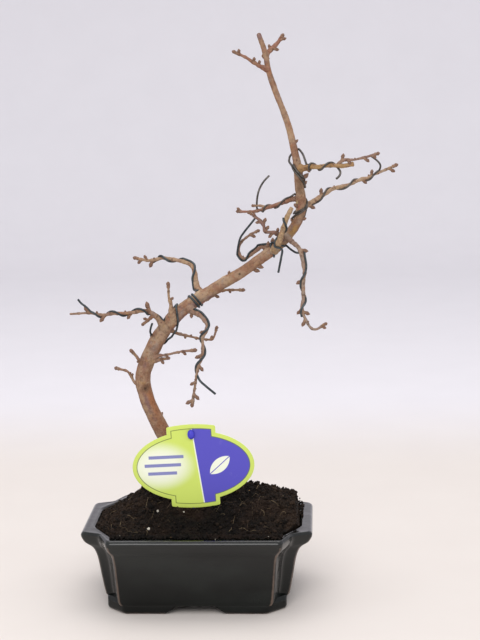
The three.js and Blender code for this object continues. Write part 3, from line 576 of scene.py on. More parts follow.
# Sections that turn as little as they can from one ring to the next.
def sections(limb, distance):
    along = limb.along(distance)
    side = np.empty_like(along)
    side[0] = limb.outward(distance[:1], np.zeros(1))[0]
    for i in range(1, len(distance)):
        side[i] = unit(side[i - 1] - along[i] * (side[i - 1] @ along[i]))
    return side, np.cross(along, side)


# A closed skin round a limb: centre + radius in each direction, where the radius has a relief
# added to it. It ends in a low dome. The grain is the place along the limb, drawn out, and
# across it, moved on by a step that differs from limb to limb.
def limbSkin(skin, limb, sides, step, relief, start=0.0, **marks):
    look = treeLook
    count = max(4, int(round((limb.length - start) / step)))
    distance = np.linspace(start, limb.length, count + 1)
    turn = circle(sides)
    out = spokes(*sections(limb, distance), turn)
    radius = np.broadcast_to(limb.radius(distance)[:, None], out.shape[:2])
    centre = limb.place(distance)[:, None]
    bare = centre + out * radius[..., None]
    grain = np.stack([np.broadcast_to(distance[:, None] * look["grainStretch"], radius.shape),
                      radius * np.cos(turn), radius * np.sin(turn)], axis=-1)
    grain = grain + look["grainShift"] * (limb.length % 7)
    added, painted = relief(distance, bare, grain, radius)
    rings = centre + out * (radius + added)[..., None]
    tip = limb.radius(limb.length)
    ahead = limb.along(np.array([limb.length]))[0]
    dome = [mix(centre[-1], rings[-1], wide) + ahead * tip * lift for lift, wide in look["dome"]]
    rings = np.concatenate([rings, np.stack(dome)])
    values = {name: np.broadcast_to(value, radius.shape)[None, ..., None]
              for name, value in {**marks, **painted}.items()}
    values = {name: np.concatenate([value, np.repeat(value[:, -1:], len(dome), axis=1)], axis=1)
              for name, value in {**values, "grain": grain[None]}.items()}
    top = centre[-1] + ahead * tip * look["domeTop"]
    skin.grids(rings[None], start=centre[0], end=top, **values)


# A swollen collar where a limb comes out of the one that carries it: a bell round its exit.
def collars(bare, children):
    look = treeLook
    total = 0
    for place, width in children:
        gap = np.linalg.norm(bare - place, axis=-1)
        total = total + look["carrierCollar"] * width * bell(gap, look["carrierReach"] * width)
    return total


# Marks on the trunk, as [height, angle, half height, half width, kind, amount]. Those at the
# back, where the photograph doesn't reach, follow the ones in front. Some are painted light: the
# umber and rust strips under the bow and the umber in the crook of the lowest left branch are
# painted shade, and the pale marks on top of the bow and on the leader's left are painted
# highlight.
trunkMarks = [
    [140.6, 14, 1.7, 1.5, "scar", 0.7], [140.8, 24, 3.4, 3.6, "umber", 1.0],
    [141.6, 42, 1.0, 1.6, "scar", 0.5], [272, 5, 9, 4, "umber", 0.75],
    # Painted shade: both umber strips below lie along the underside of the bow.
    [205, 78, 12, 2.6, "umber", 0.6], [165, 78, 14, 2.6, "umber", 0.5],
    # Painted shade: the first umber mark below, in the crook under the lowest left branch.
    [179.5, -58, 2.4, 2.6, "umber", 0.8], [116, 30, 12, 5, "umber", 0.4],
    [282, 70, 6, 3, "umber", 0.6],
    [144.6, 40, 0.9, 2.6, "pale", 0.6], [134, 50, 9, 2.2, "rust", 0.6],
    [132, 0, 9, 2.0, "plum", 0.7], [120, 10, 8, 2.2, "plum", 0.35], [106, 30, 6, 2.4, "plum", 0.4],
    [157, 0, 8, 2.2, "plum", 0.5], [150, -70, 9, 2.2, "rust", 0.5], [168, 10, 7, 3, "grey", 0.6],
    [188, 62, 5, 2.2, "plum", 0.9], [192.5, 66, 4, 2.4, "red", 0.9], [184, 70, 3, 2, "red", 0.7],
    [196, 20, 4, 2.4, "plum", 0.8], [199, 66, 4, 2.2, "red", 0.8], [202, 50, 4, 2.6, "plum", 0.7],
    # Painted highlight: both pale marks below lie on top of the bow.
    [197, -60, 5, 2.6, "pale", 0.5], [188, -60, 6, 2.6, "pale", 0.4],
    [229, 60, 3, 2.2, "red", 0.8], [233, 10, 4, 2.2, "ochre", 0.9], [238, 60, 4, 2, "rust", 0.6],
    [244, 20, 6, 2.6, "ochre", 0.8], [259, -30, 2.4, 1.7, "red", 0.7],
    [262, -60, 2.6, 1.6, "paleOchre", 0.9], [283, 40, 2.6, 2, "rust", 0.8],
    # Painted shade: the rust mark at 78 degrees below, under the bow.
    [200, 40, 5, 3.4, "grey", 0.5], [195, 78, 7, 3, "rust", 0.5], [189, 10, 6, 4, "grey", 0.5],
    # Painted highlight: the pale mark below, on top of the bow.
    [209.5, -85, 3, 2.4, "pale", 0.8], [214.6, 0, 1.0, 1.0, "scar", 0.9],
    # Painted highlight and shade: the pale mark below on top of the bow and the rust strip under
    # it.
    [200, -80, 3.5, 3.5, "pale", 0.6], [216, 85, 9, 2.4, "rust", 0.7],
    # Painted shade and highlight: the rust strip below under the bow and the pale mark on the
    # leader's left.
    [225, 80, 8, 2.2, "rust", 0.6], [260, -70, 4.5, 2.2, "pale", 0.8],
    [250, 20, 5, 2.5, "grey", 0.5], [128, 30, 14, 5, "rust", 0.5], [112, 45, 10, 5, "rust", 0.5],
    [120, 150, 7, 4, "grey", 0.5], [150, 200, 9, 4, "rust", 0.5], [175, 210, 6, 4, "grey", 0.6],
    [95, 190, 3, 2.5, "scar", 0.8], [158, -50, 8, 4, "grey", 0.4], [172, 30, 7, 3, "rust", 0.3],
    [310, 30, 9, 2, "rust", 0.5], [330, -50, 7, 2, "rust", 0.5], [298, 60, 5, 2, "grey", 0.4],
    [345, 20, 6, 2, "rust", 0.6], [368, 0, 4, 3, "plum", 0.9],
]


# The marks as masks, each a bell on the surface round its middle.
def markMasks(bare):
    masks = {kind: np.zeros(bare.shape[:2]) for kind in ("scar", *markTones)}
    for z, angle, halfHeight, halfWidth, kind, amount in trunkMarks:
        distance = np.array([trunk.atHeight(z)])
        along = trunk.along(distance)[0]
        middle = (trunk.place(distance) + trunk.outward(distance, np.array([angle]))
                  * trunk.radius(distance)[:, None])[0]
        gap = bare - middle
        rise = gap @ along
        across = np.linalg.norm(gap - rise[..., None] * along, axis=-1)
        masks[kind] += amount * bell(np.hypot(rise / halfHeight, across / halfWidth), 1)
    return {kind: np.clip(mask, 0, 1) for kind, mask in masks.items()}


# The trunk's relief: wide lumps, bark drawn out lengthwise, collars, and the scar's rim.
def trunkRelief(children):
    look = treeLook

    def relief(distance, bare, grain, radius):
        masks = markMasks(bare)
        scar = masks["scar"]
        thick = (radius / look["fullRadius"]) ** look["thinning"]
        added = thick * (layers(bare * look["trunkStretch"], look["trunkWaves"])
                         + layers(bare, look["trunkLumps"]) + layers(grain, look["trunkGrain"]))
        added += layers(bare, look["trunkFine"]) + collars(bare, children)
        added += look["scarRim"] * scar - look["scarPit"] * scar ** 3
        added += look["paleRise"] * masks["pale"]
        return added, masks
    return relief


# A branch's relief: knobs, grain, a collar at its own foot, and a swelling under each bud.
def branchRelief(limb, parent, row, children):
    look = treeLook
    foot, _ = limb.exit(parent)
    width = limb.radius(foot)
    dice = np.random.default_rng(int(limb.length * 10))
    scars = np.arange(foot + look["scarStart"], limb.length, look["scarSpacing"])
    scars += dice.uniform(-look["scarJitter"], look["scarJitter"], len(scars))
    knots = np.concatenate([[mark[0] for mark in row], scars])

    def relief(distance, bare, grain, radius):
        rise = distance[:, None]

        # 1 at each knot, or a little beyond it.
        def knotted(shift):
            rings = bell(rise - knots - shift, look["nodeWidth"])
            return np.minimum(rings.sum(axis=1, keepdims=True), 1)

        added = layers(bare, look["branchLumps"]) * np.sqrt(radius)
        added += layers(grain, look["branchGrain"])
        run = np.maximum(rise - foot, 0) / (look["collarRun"] * width)
        added += look["collar"] * width * np.exp(-run)
        added += look["nodeSwelling"] * knotted(0) + collars(bare, children)
        stain = knotted(look["stainShift"]) * ramp(layers(bare, look["stainLumps"]), -0.1, 0.5)
        return added, {"young": ramp(rise / limb.length, 0, 1), "node": stain}
    return relief


# Roots have lumps and grain, and no marks.
def rootRelief(distance, bare, grain, radius):
    return layers(bare, treeLook["rootLumps"]) + layers(grain, treeLook["rootGrain"]), {}


# A bud's outline as [share of its length, share of its thickness]: a ringed short shoot, then
# an ovoid bud that ends in a point.
budOutline = np.array([
    [-0.2, 0.8], [0.0, 1.0], [0.1, 0.84], [0.2, 0.98], [0.28, 0.8], [0.38, 0.94], [0.5, 1.05],
    [0.62, 1.02], [0.74, 0.86], [0.86, 0.56], [0.95, 0.24],
])


# Many buds at once, from rows of [start, way it leans, length, thickness]. Each is a turned
# outline with its scales as low steps round it.
def budSkins(skin, buds, sides, seed):
    starts, leans, sizes, thick = buds[:, :3], buds[:, 3:6], buds[:, 6], buds[:, 7]
    dice = np.random.default_rng(seed)
    across = unit(np.cross(leans, dice.normal(size=leans.shape)))
    turn = circle(sides)
    out = spokes(across, np.cross(leans, across), turn)
    share, width = budOutline.T
    scale = 1 + treeLook["budScales"] * np.sin(3 * turn + 9 * share[:, None])
    rings = (starts[:, None, None]
             + leans[:, None, None] * (share[:, None, None] * sizes[:, None, None, None])
             + out[:, None] * (width[:, None] * scale)[..., None] * thick[:, None, None, None])
    skin.grids(rings, start=rings[:, 0].mean(axis=1), end=starts + leans * sizes[:, None],
               bud=ramp(share, 0.1, 0.5)[:, None], young=1.0,
               ring=np.abs(np.sin(share * 16))[:, None], grain=rings)


# The tree in one skin: trunk, roots, branches and twigs, and all their buds.
def buildTree(material):
    look = treeLook
    skin = Skin()
    exits = {id(limb): limb.exit(parent) for limb, parent, _ in growth}

    def childrenOf(carrier):
        return [(exits[id(limb)][1], limb.radius(exits[id(limb)][0]))
                for limb, parent, _ in growth if parent is carrier]

    limbSkin(skin, trunk, look["trunkSides"], look["trunkStep"], trunkRelief(childrenOf(trunk)),
             start=look["trunkStart"], young=0.0)
    for limb in roots:
        limbSkin(skin, limb, look["rootSides"], look["rootStep"], rootRelief, young=0.0)
    buds = []

    # A bud leans out of a limb's side and a little forwards, or goes straight on at a tip.
    def bud(limb, distance, angle, size):
        distance = np.array([distance], float)
        out = limb.outward(distance, np.array([angle], float))[0]
        radius = limb.radius(distance)[0]
        sideways, ahead = look["budLean"]
        buds.append([*(limb.place(distance)[0] + out * radius * look["budSink"]),
                     *unit(sideways * out + ahead * limb.along(distance)[0]),
                     size + radius * look["budFoot"], look["budThick"] + look["budShare"] * size])

    def endBud(limb, size, thick):
        tip = np.array([limb.length])
        along = limb.along(tip)[0]
        buds.append([*(limb.place(tip)[0] - along * look["budFoot"]), *along, size, thick])

    dice = np.random.default_rng(look["seed"])
    after, before = look["smallBudEnds"]
    jitter = look["smallBudJitter"]
    for limb, parent, row in growth:
        kind = "twig" if limb.radius(limb.length / 2) < look["twigUnder"] else "branch"
        limbSkin(skin, limb, look[kind + "Sides"], look[kind + "Step"],
                 branchRelief(limb, parent, row, childrenOf(limb)), **limbTints.get(id(limb), {}))
        for distance, angle, size in row:
            bud(limb, distance, angle, size)
        if limb.tipBud:
            thick = look["budThick"] + look["budShare"] * limb.tipBud + look["tipExtra"]
            endBud(limb, limb.tipBud, thick)
        spots = np.arange(exits[id(limb)][0] + after, limb.length - before, look["scarSpacing"])
        for distance in spots + dice.uniform(-jitter, jitter, len(spots)):
            bud(limb, distance, dice.uniform(0, 360), dice.uniform(*look["smallBud"]))
    for z, angle, size in trunkBuds:
        bud(trunk, trunk.atHeight(z), angle, size)
    jitter = look["trunkBudJitter"]
    for z in np.arange(*look["trunkBudRange"]):
        bud(trunk, trunk.atHeight(z + dice.uniform(-jitter, jitter)), dice.uniform(0, 360),
            dice.uniform(*look["smallBud"]))
    endBud(trunk, *look["leaderBud"])
    budSkins(skin, np.array(buds), look["budSides"], look["budSeed"])
    skin.make("larchTree", material, ["tree"])


# Patches are [size, seed, tone, share].
barkLook = {
    "old": colour("8a6752"), "tan": colour("9e846c"), "dark": colour("38271f"),
    "young": colour("8f735f"), "bud": colour("543b34"), "budEdge": colour("7f6353"),
    "node": colour("4c382d"), "speck": colour("bda68a"),
    "patches": ((5, 2.0, "grey", 0.5), (3.2, 7.0, "plum", 0.5), (2.6, 12.0, "rust", 0.5),
                (4.1, 17.0, "ochre", 0.35)),
}
markTones = {
    "grey": colour("8c827c"), "rust": colour("96603f"), "pale": colour("c9b090"),
    "plum": colour("755a5c"), "red": colour("8a4f45"), "ochre": colour("a8854e"),
    "paleOchre": colour("cbb68a"), "umber": colour("644b3a"),
}

# Limbs whose bark differs: the cut stub and one branch are ochre, and others are pale, reddish,
# plum or grey.
limbTints = {
    id(paleStub): {"paleOchre": 0.45}, id(stubBranch): {"ochre": 0.55},
    id(longRight): {"pale": 0.45}, id(uprightTwig): {"pale": 0.4}, id(stubTwig): {"plum": 0.5},
    id(crossBranch): {"red": 0.5}, id(spurBranch): {"plum": 0.6}, id(loopBranch): {"plum": 0.4},
    id(highLeft): {"pale": 0.4}, id(highHanging): {"grey": 0.5}, id(lowHanging): {"grey": 0.4},
    id(topLeft): {"red": 0.5}, id(topRight): {"red": 0.55}, id(rightTwig): {"plum": 0.4},
    id(lowLeft): {"grey": 0.3},
}


# Bark: brown and tan patches, fine mottling and some grain drawn out along the limb, marks in
# other tones, paler young wood, and dark scaly buds.
def barkMaterial():
    paint = Paint("larchBark", roughness=0.85, ior=1.4, specular_ior_level=0.3)
    grain = paint.mark("grain", "Vector")
    look = barkLook
    streaks = paint.noise(0.9, 3, 0.6, at=grain)
    specks = paint.noise(0.7, 2, 0.6, seed=4.0)
    mottle = paint.noise(1.9, 3, 0.65, seed=14.0)
    ragged = paint.noise(1.6, 3, 0.65, seed=9.0) - 0.5
    base = paint.blend(paint.noise(9, 3, 0.6).step(0.38, 0.62), look["old"], look["tan"])
    base = paint.blend(paint.mark("young") * 0.7, base, look["young"])
    for size, seed, tone, share in look["patches"]:
        spots = paint.noise(size, 3, 0.6, seed=seed).step(0.56, 0.7)
        base = paint.blend(spots * share, base, markTones[tone])
    for kind, tone in markTones.items():
        share = (paint.mark(kind) + ragged * 0.8).step(0.2, 0.85)
        base = paint.blend(share * 0.8, base, tone)
    base = paint.blend(mottle.step(0.54, 0.34) * 0.3, base, look["dark"])
    base = paint.blend(streaks.step(0.48, 0.28) * 0.35, base, look["dark"])
    stain = (paint.mark("node") + ragged).step(0.3, 0.8)
    base = paint.blend(stain * (0.6 - paint.mark("paleOchre") * 0.8), base, look["node"])
    base = paint.blend(specks.step(0.6, 0.74) * 0.45, base, look["speck"])
    base = paint.blend((paint.mark("scar") + ragged * 0.5).step(0.3, 0.8) * 0.85, base,
                       look["dark"])
    scales = paint.blend(paint.mark("ring").step(0.2, 0.8), look["bud"], look["budEdge"])
    base = paint.blend(paint.mark("bud") * 0.9, base, scales)
    relief = streaks * 0.16 + mottle * 0.35 + specks * 0.14
    return paint.use(relief, 1.0, base_color=base, roughness=0.76 + streaks * 0.2)


buildTree(barkMaterial())


# Wires

wireLook = {
    "sides": 12, "step": 0.7, "bite": 0.12, "thick": 0.7, "clearing": 1.9, "waves": 0.03,
    "waveSize": 5, "snip": ((0.15, 0.97), (0.28, 0.8)), "snipEnd": 0.3,
    "aged": ("wire_right_pair", "wire_top_right"),
}
wireRadii = {
    "wire_low_left": 0.68, "wire_left_pair": 0.75, "wire_loop_pair": 0.68,
    "wire_pale_stub": 0.72, "wire_right_pair": 0.64, "wire_top_right": 0.7,
}


# A stretch of wire wound on a limb, from one [distance, angle] to the next. Each point stands
# out of the bark by a usual wire's radius, whichever the wire, less a little where it bites.
def winding(limb, marks, lift=0.0):
    look = wireLook
    marks = np.array(marks, float)
    rows = []
    for i, (start, end) in enumerate(zip(marks[:-1], marks[1:])):
        turned = np.radians(end[1] - start[1]) * (limb.radius(start[0]) + look["thick"])
        run = np.hypot(end[0] - start[0], turned)
        count = max(1, int(round(run / look["clearing"])))
        rows.append(mix(start, end, np.linspace(0, 1, count + 1)[0 if i == 0 else 1:, None]))
    distance, angle = np.concatenate(rows).T
    reach = limb.radius(distance) + look["thick"] - look["bite"] + lift
    return limb.place(distance) + limb.outward(distance, angle) * reach[:, None]


# The same on the trunk, from one [height, angle] to the next, where a wire lies without a bite.
def trunkWinding(marks, lift=0.0):
    marks = [[trunk.atHeight(z), angle] for z, angle in marks]
    return winding(trunk, marks, lift + wireLook["bite"])


# Each wire's route: bare stretches of points, and turns on the trunk and on its branches.
wireRoutes = {
    "wire_low_left": [
        [[-26.9, -15, 185], [-27.9, -14.5, 182.3], [-28.6, -13, 179.2], [-28.2, -10.5, 176.9]],
        trunkWinding([[173.2, -88], [171.2, -130], [170.2, -180], [172, -240], [175.5, -268]]),
        trunkWinding([[178, -270], [182.8, -271]], 1.1),
        trunkWinding([[185.4, -296], [187.6, -338], [189.6, -386], [191.4, -450],
                      [188.5, -500]]),
        winding(lowLeft, [[8, 150], [11, 120], [17, 180], [21, 270], [25, 360], [42.5, 720],
                          [57.5, 1080], [61, 1140]]),
        [[-67, -32.5, 199], [-70, -33, 201.5], [-72, -33, 204]],
    ],
    "wire_left_pair": [
        winding(highLeft, [[57, 610], [53, 530], [50, 450], [46, 360], [42, 270], [37, 170],
                           [33, 100], [25, 80], [19, 0], [15, -80], [8, -95]]),
        trunkWinding([[200, 985], [199.2, 900], [198.3, 804], [198.2, 740], [197.9, 688],
                      [197.5, 628], [197.4, 540], [197.2, 444], [197.1, 388], [196.8, 336],
                      [196.4, 268], [195, 180], [193.4, 110]]),
        winding(lowHanging, [[8, -60], [12, -90], [20, -90], [26, 0], [31, 90], [35.5, 180],
                             [41, 270], [46, 360], [51, 450], [55, 520]]),
        [[4, -27.5, 150], [7, -28, 147], [14, -28, 141]],
    ],
    "wire_loop_pair": [
        [[40, 14, 250], [36, 15, 245], [32, 16.5, 240], [29, 18.5, 235]],
        winding(loopBranch, [[31, -50], [27, -90], [22, 0], [17, 90], [9, 100]]),
        trunkWinding([[230.8, -80], [229.9, 0], [228.6, 90], [229.2, 180], [231.5, 270],
                      [234, 360], [235.5, 430]]),
        [[63, -4, 231], [67, -10, 229.5]],
        winding(highHanging, [[19, -80], [26, -90], [33, 0], [40, 90], [45, 180], [50, 270],
                              [55, 360], [60, 440]]),
    ],
    "wire_pale_stub": [
        winding(paleStub, [[32.5, -80], [30.2, 0], [25.7, 88], [19.8, 180], [14.8, 270],
                           [12.5, 330]]),
        [[57.5, -12.5, 232], [57, -12.5, 227], [56, -11.5, 222], [55, -10.5, 217]],
    ],
    "wire_right_pair": [
        [[49, 17, 277], [45.2, 16, 273], [42.4, 15, 268], [41, 14.5, 262]],
        winding(crossBranch, [[38, -600], [34, -450], [29.5, -286], [24, -90], [21, -70],
                              [16.5, 0], [12, 80], [8, 90]]),
        trunkWinding([[267.5, -80], [265, -180], [262.4, -240], [261.2, -272], [259.4, -304],
                      [257.2, -360], [252.9, -448], [255.5, -540], [259.4, -632], [257, -692],
                      [253.9, -752], [249.6, -808], [249.8, -900], [251.5, -960]]),
        winding(longRight, [[9, 150], [17, 90], [23, 0], [43.4, -360], [62, -720], [67, -800]]),
        [[122, 27.5, 282], [120, 27, 285], [115, 26, 289]],
    ],
    "wire_top_right": [
        trunkWinding([[286.2, -48], [282.3, -12], [278.4, 34], [276, 84], [274.5, 122],
                      [272.2, 132], [270.7, 108], [271.8, 80], [274.5, 50], [278.4, 6],
                      [282.3, -44], [285.5, -78]]),
        trunkWinding([[288.5, -92], [292, -130]], 1.4),
        trunkWinding([[294.5, -180], [295, -250]]),
        [[71.5, -9.5, 292.5]],
        winding(stubBranch, [[9.5, -100], [13, -450], [18.5, -630], [23, -720], [26.5, -810],
                             [30, -920]]),
        [[95, -24, 282.5], [94.5, -25, 280], [92.5, -25, 278]],
    ],
}


# A wire: a round section carried along its route, with small hand-made waves, and snipped ends
# that round over within a third of its radius.
def buildWire(name, material):
    look = wireLook
    route = np.concatenate([np.array(part, float) for part in wireRoutes[name]])
    thick = wireRadii[name]
    line = Limb(np.column_stack([route, np.full(len(route), thick)]))
    distance = np.linspace(0, line.length, int(round(line.length / look["step"])) + 1)
    out = spokes(*sections(line, distance), circle(look["sides"]))
    centre = line.place(distance)
    radius = thick * (1 + look["waves"] * lumps(centre, look["waveSize"]))[:, None, None]
    rings = centre[:, None] + out * radius
    first, last = line.along(distance[:1])[0], line.along(distance[-1:])[0]
    ends = [(rings[0], centre[0], -first), (rings[-1], centre[-1], last)]
    caps = [np.stack([mix(middle, ring, wide) + way * thick * lift
                      for lift, wide in look["snip"]]) for ring, middle, way in ends]
    tips = [middle + way * thick * look["snipEnd"] for _, middle, way in ends]
    skin = Skin()
    skin.grids(np.concatenate([caps[0][::-1], rings, caps[1]])[None], start=tips[0], end=tips[1])
    skin.make(name.replace("_", ".") + ".wound", material, [name])


# Dark anodised aluminium, dulled unevenly, with specks of dust. The wires on the right are
# older and browner than those on the left.
def wireMaterial(name, dark, light, dusty):
    paint = Paint(name, metallic=0.75, roughness=0.42)
    worn = paint.noise(3.5, 3, 0.6).step(0.35, 0.75)
    base = paint.blend(worn, dark, light)
    dust = paint.noise(0.8, 2, 0.6, seed=3.0)
    base = paint.blend(dust.step(0.58, 0.75) * 0.4, base, dusty)
    return paint.use(dust * 0.06, 0.6, base_color=base, roughness=0.36 + dust * 0.25)


freshWire = wireMaterial("freshWire", colour("33393c"), colour("565d60"), colour("75756f"))
agedWire = wireMaterial("agedWire", colour("45423f"), colour("6e6863"), colour("8c8378"))
for name in wireRoutes:
    buildWire(name, agedWire if name in wireLook["aged"] else freshWire)


# Pot

# Rows of the underside are [height, inset, how bare it is], the lip's [height, inset, depth of
# the front] and the inner lip's [height, inset]. A point of the foot's section is [how far in,
# height], and a bare band of the wall [amount, height, width]. Bare is where glaze has run thin.
potLook = {
    "length": 151.5, "depth": 112.5, "height": 51.0, "frontPanel": 56.0, "sidePanel": 33.8,
    "frontShare": 0.4, "frontTaper": 0.4, "sideTaper": 0.1, "notch": (0.37, 4.5),
    "cornerRound": 2.6, "cornerSteps": 10, "sideShares": (0.015, 0.06, 0.35, 0.65, 0.94, 0.985),
    "openingLength": 135.0, "openingDepth": 93.0, "openingCut": (14.5, 26.0),
    "openingRound": 3.0, "openingShare": 0.7,
    "floorTop": 11.0, "drainRadius": 5.0, "drainSpread": 27.0, "drainSides": 32,
    "footLength": 117.0, "footDepth": 97.5, "footCant": 12.0, "footHeight": 5.6,
    "footRise": 1.4, "footRound": 2.0, "footSteps": 6, "footEdge": 1.6,
    "frontGap": (20.5, 12.3), "sideGap": (15.0, 9.0),
    "underside": ((5.8, 18.2, 0.9), (5.95, 17.75, 0.6), (6.3, 17.35, 0.6)),
    "lip": ((48.7, 0.2, 0.1), (49.4, 0.45, 0.35), (50.1, 0.9, 0.85), (50.6, 1.45, 1.4),
            (50.9, 2.1, 2.0), (51, 2.8, 2.7)),
    "rimShares": (0.06, 0.3, 0.65, 0.94), "rimDip": 0.2,
    "innerLip": ((51, -1.5), (50.85, -0.9), (50.4, -0.3), (49.8, 0.1)),
    "footSection": ((0, 8.5), (0, 5), (0, 2.2), (0.3, 1.1), (0.9, 0.35), (1.8, 0), (6.3, 0),
                    (7.3, 0.2), (7.8, 0.8), (8, 2), (8, 8.5)),
    "wallRings": 46, "firstRing": 3, "cavityRings": 14,
    # Down each panel's edge a brown streak stands for thin glaze and a painted highlight together.
    "edgeHighlight": 1.4, "highlightTop": 47.0, "bareEnds": (0.3, 1, 40, 70),
    "bareWall": ((0.35, 41, 2.5), (0.2, 9, 4)), "bareLip": 0.4, "bareRim": 0.2,
    "bareInner": 0.5, "bareCavity": 0.1, "bareDrain": 0.3,
    "glaze": colour("050706"), "glazeCloud": colour("0b0e0c"), "glazeFlow": colour("161a18"),
    # The thin-glaze brown is also the painted highlight down the panels' edges.
    "glazeSpeckle": colour("1b1d1a"), "glazeThinAndHighlight": colour("64544a"), "pinhole": colour("b4b0a6"),
}

# The outside, as [height, how far the end walls stand in from the rim].
wallLevels = np.array([
    [5.8, 17.6], [8, 15.6], [18.7, 13.3], [32, 11], [38, 9], [40.8, 6.8], [43.6, 2.6],
    [46.8, 0.6], [48.3, 0.25],
])
cavityLevels = np.array([[49.4, 0.4], [38, 7.5], [15, 13], [11, 16]])


# A closed outline through corners, each rounded by the curve that the corner pulls towards
# itself from a point on either side. Straight sides get points close to both ends.
def roundedOutline(corners, rounding, steps):
    corners = np.array(corners, float)
    start = corners + unit(np.roll(corners, 1, axis=0) - corners) * rounding
    end = corners + unit(np.roll(corners, -1, axis=0) - corners) * rounding
    t = np.linspace(0, 1, steps + 1)[:, None]
    bends = ((1 - t) ** 2 * start[:, None] + 2 * t * (1 - t) * corners[:, None]
             + t ** 2 * end[:, None])
    share = np.array(potLook["sideShares"])[:, None]
    sides = mix(end[:, None], np.roll(start, -1, axis=0)[:, None], share)
    return np.concatenate([bends, sides], axis=1).reshape(-1, 2)


# A quarter of the corners, mirrored to the back and then turned to the left.
def fourCorners(quarter):
    right = [*quarter, *[(x, -y) for x, y in reversed(quarter)]]
    return [*right, *[(-x, -y) for x, y in right]]


# The outside at one inset: corners that step in, so that four flat panels stand proud. The
# front and back stand in by a share of the inset, or by a depth of their own.
def wallOutline(inward, deep=None):
    look = potLook
    halfLength = look["length"] / 2 - inward
    halfDepth = look["depth"] / 2 - (inward * look["frontShare"] if deep is None else deep)
    panelX = look["frontPanel"] - inward * look["frontTaper"]
    panelY = look["sidePanel"] - inward * look["sideTaper"]
    notchShare, notchDepth = look["notch"]
    notchX = panelX + notchShare * (halfLength - panelX)
    quarter = [(panelX, -halfDepth), (notchX, -panelY - notchDepth), (halfLength, -panelY)]
    return roundedOutline(fourCorners(quarter), look["cornerRound"], look["cornerSteps"])


# The opening at one inset: corners cut off, with a third point on each cut so that it matches
# the outside point for point.
def openingOutline(inward, margin=0.0):
    look = potLook
    halfLength = look["openingLength"] / 2 - inward - margin
    halfDepth = look["openingDepth"] / 2 - inward * look["openingShare"] - margin
    cutX, cutY = look["openingCut"]
    quarter = [(halfLength - cutX, -halfDepth), (halfLength - cutX / 2, cutY / 2 - halfDepth),
               (halfLength, cutY - halfDepth)]
    return roundedOutline(fourCorners(quarter), look["openingRound"], look["cornerSteps"])


# A flat outline lifted to a height.
def atLevel(outline, z):
    return np.column_stack([outline, np.full(len(outline), float(z))])


# A smooth run of values through levels: straight pieces blended by the same cubic as a limb.
def smoothLevels(levels, count):
    line = Limb(np.column_stack([levels, np.zeros(len(levels)), np.ones(len(levels))]))
    return line.place(np.linspace(0, line.length, count))[:, :2]


# A flat plate with round holes in it, and the outlines of those holes.
def plateWithHoles(skin, outline, z, up):
    look = potLook
    turn = circle(look["drainSides"])
    drain = np.column_stack([np.cos(turn), np.sin(turn)]) * look["drainRadius"]
    holes = [drain + [x, 0] for x in (-look["drainSpread"], look["drainSpread"])]
    loops = [atLevel(loop, z) for loop in (outline, *holes)]
    faces = np.array(tessellate_polygon([loop.tolist() for loop in loops]))
    points = np.concatenate(loops)
    a, b, c = (points[faces[:, i]] for i in range(3))
    wrong = (np.cross(b - a, c - a)[:, 2] > 0) != up
    faces[wrong] = faces[wrong][:, ::-1]
    skin.add(points, [faces], {"thin": 0.0})
    return holes


# The pot's shell is one run of outlines, out along the underside, up the wall, over the rim
# and down inside. Where edges are sharp, the glaze has run thin, and down the panels' edges
# its brown is a painted highlight too.
def potShell(skin):
    look = potLook
    rows, thin = [], []
    firstEdge = look["cornerSteps"] // 2
    perCorner = look["cornerSteps"] + 1 + len(look["sideShares"])

    # The glaze is thin at the panels' edges, and its brown there is a painted highlight too: the
    # middle of each quarter's first and last bend.
    def ring(outline, z, bare):
        x, y = np.abs(outline).T
        rows.append(atLevel(outline, z))
        edges = [bell(np.hypot(x - x[i], y - y[i]), look["edgeHighlight"])
                 for i in (firstEdge, firstEdge + 2 * perCorner)]
        middle, end, start, full = look["bareEnds"]
        thin.append(bare * mix(middle, end, ramp(x, start, full))
                    + np.maximum(*edges) * (z < look["highlightTop"]))

    for z, inward, bare in look["underside"]:
        ring(wallOutline(inward), z, bare)
    for z, inward in smoothLevels(wallLevels, look["wallRings"])[look["firstRing"]:]:
        bare = sum(amount * bell(z - middle, width) for amount, middle, width in look["bareWall"])
        ring(wallOutline(inward), z, bare)
    for z, inward, deep in look["lip"]:
        ring(wallOutline(inward, deep), z, look["bareLip"])
    outer, inner = wallOutline(*look["lip"][-1][1:]), openingOutline(look["innerLip"][0][1])
    for share in look["rimShares"]:
        dip = look["rimDip"] * np.sin(np.pi * share)
        ring(mix(outer, inner, share), look["height"] - dip, look["bareRim"])
    for z, inward in look["innerLip"]:
        ring(openingOutline(inward), z, look["bareInner"])
    for z, inward in smoothLevels(cavityLevels, look["cavityRings"]):
        ring(openingOutline(inward), z, look["bareCavity"])
    skin.grids(np.stack(rows)[None], thin=np.stack(thin))
    top, bottom = look["floorTop"], look["underside"][0][0]
    holes = plateWithHoles(skin, rows[0][:, :2], bottom, False)
    plateWithHoles(skin, rows[-1][:, :2], top, True)
    for hole in holes:
        walls = np.stack([atLevel(hole, z) for z in (top, top - 0.5, bottom + 0.5, bottom)])
        skin.grids(walls[None], thin=look["bareDrain"])


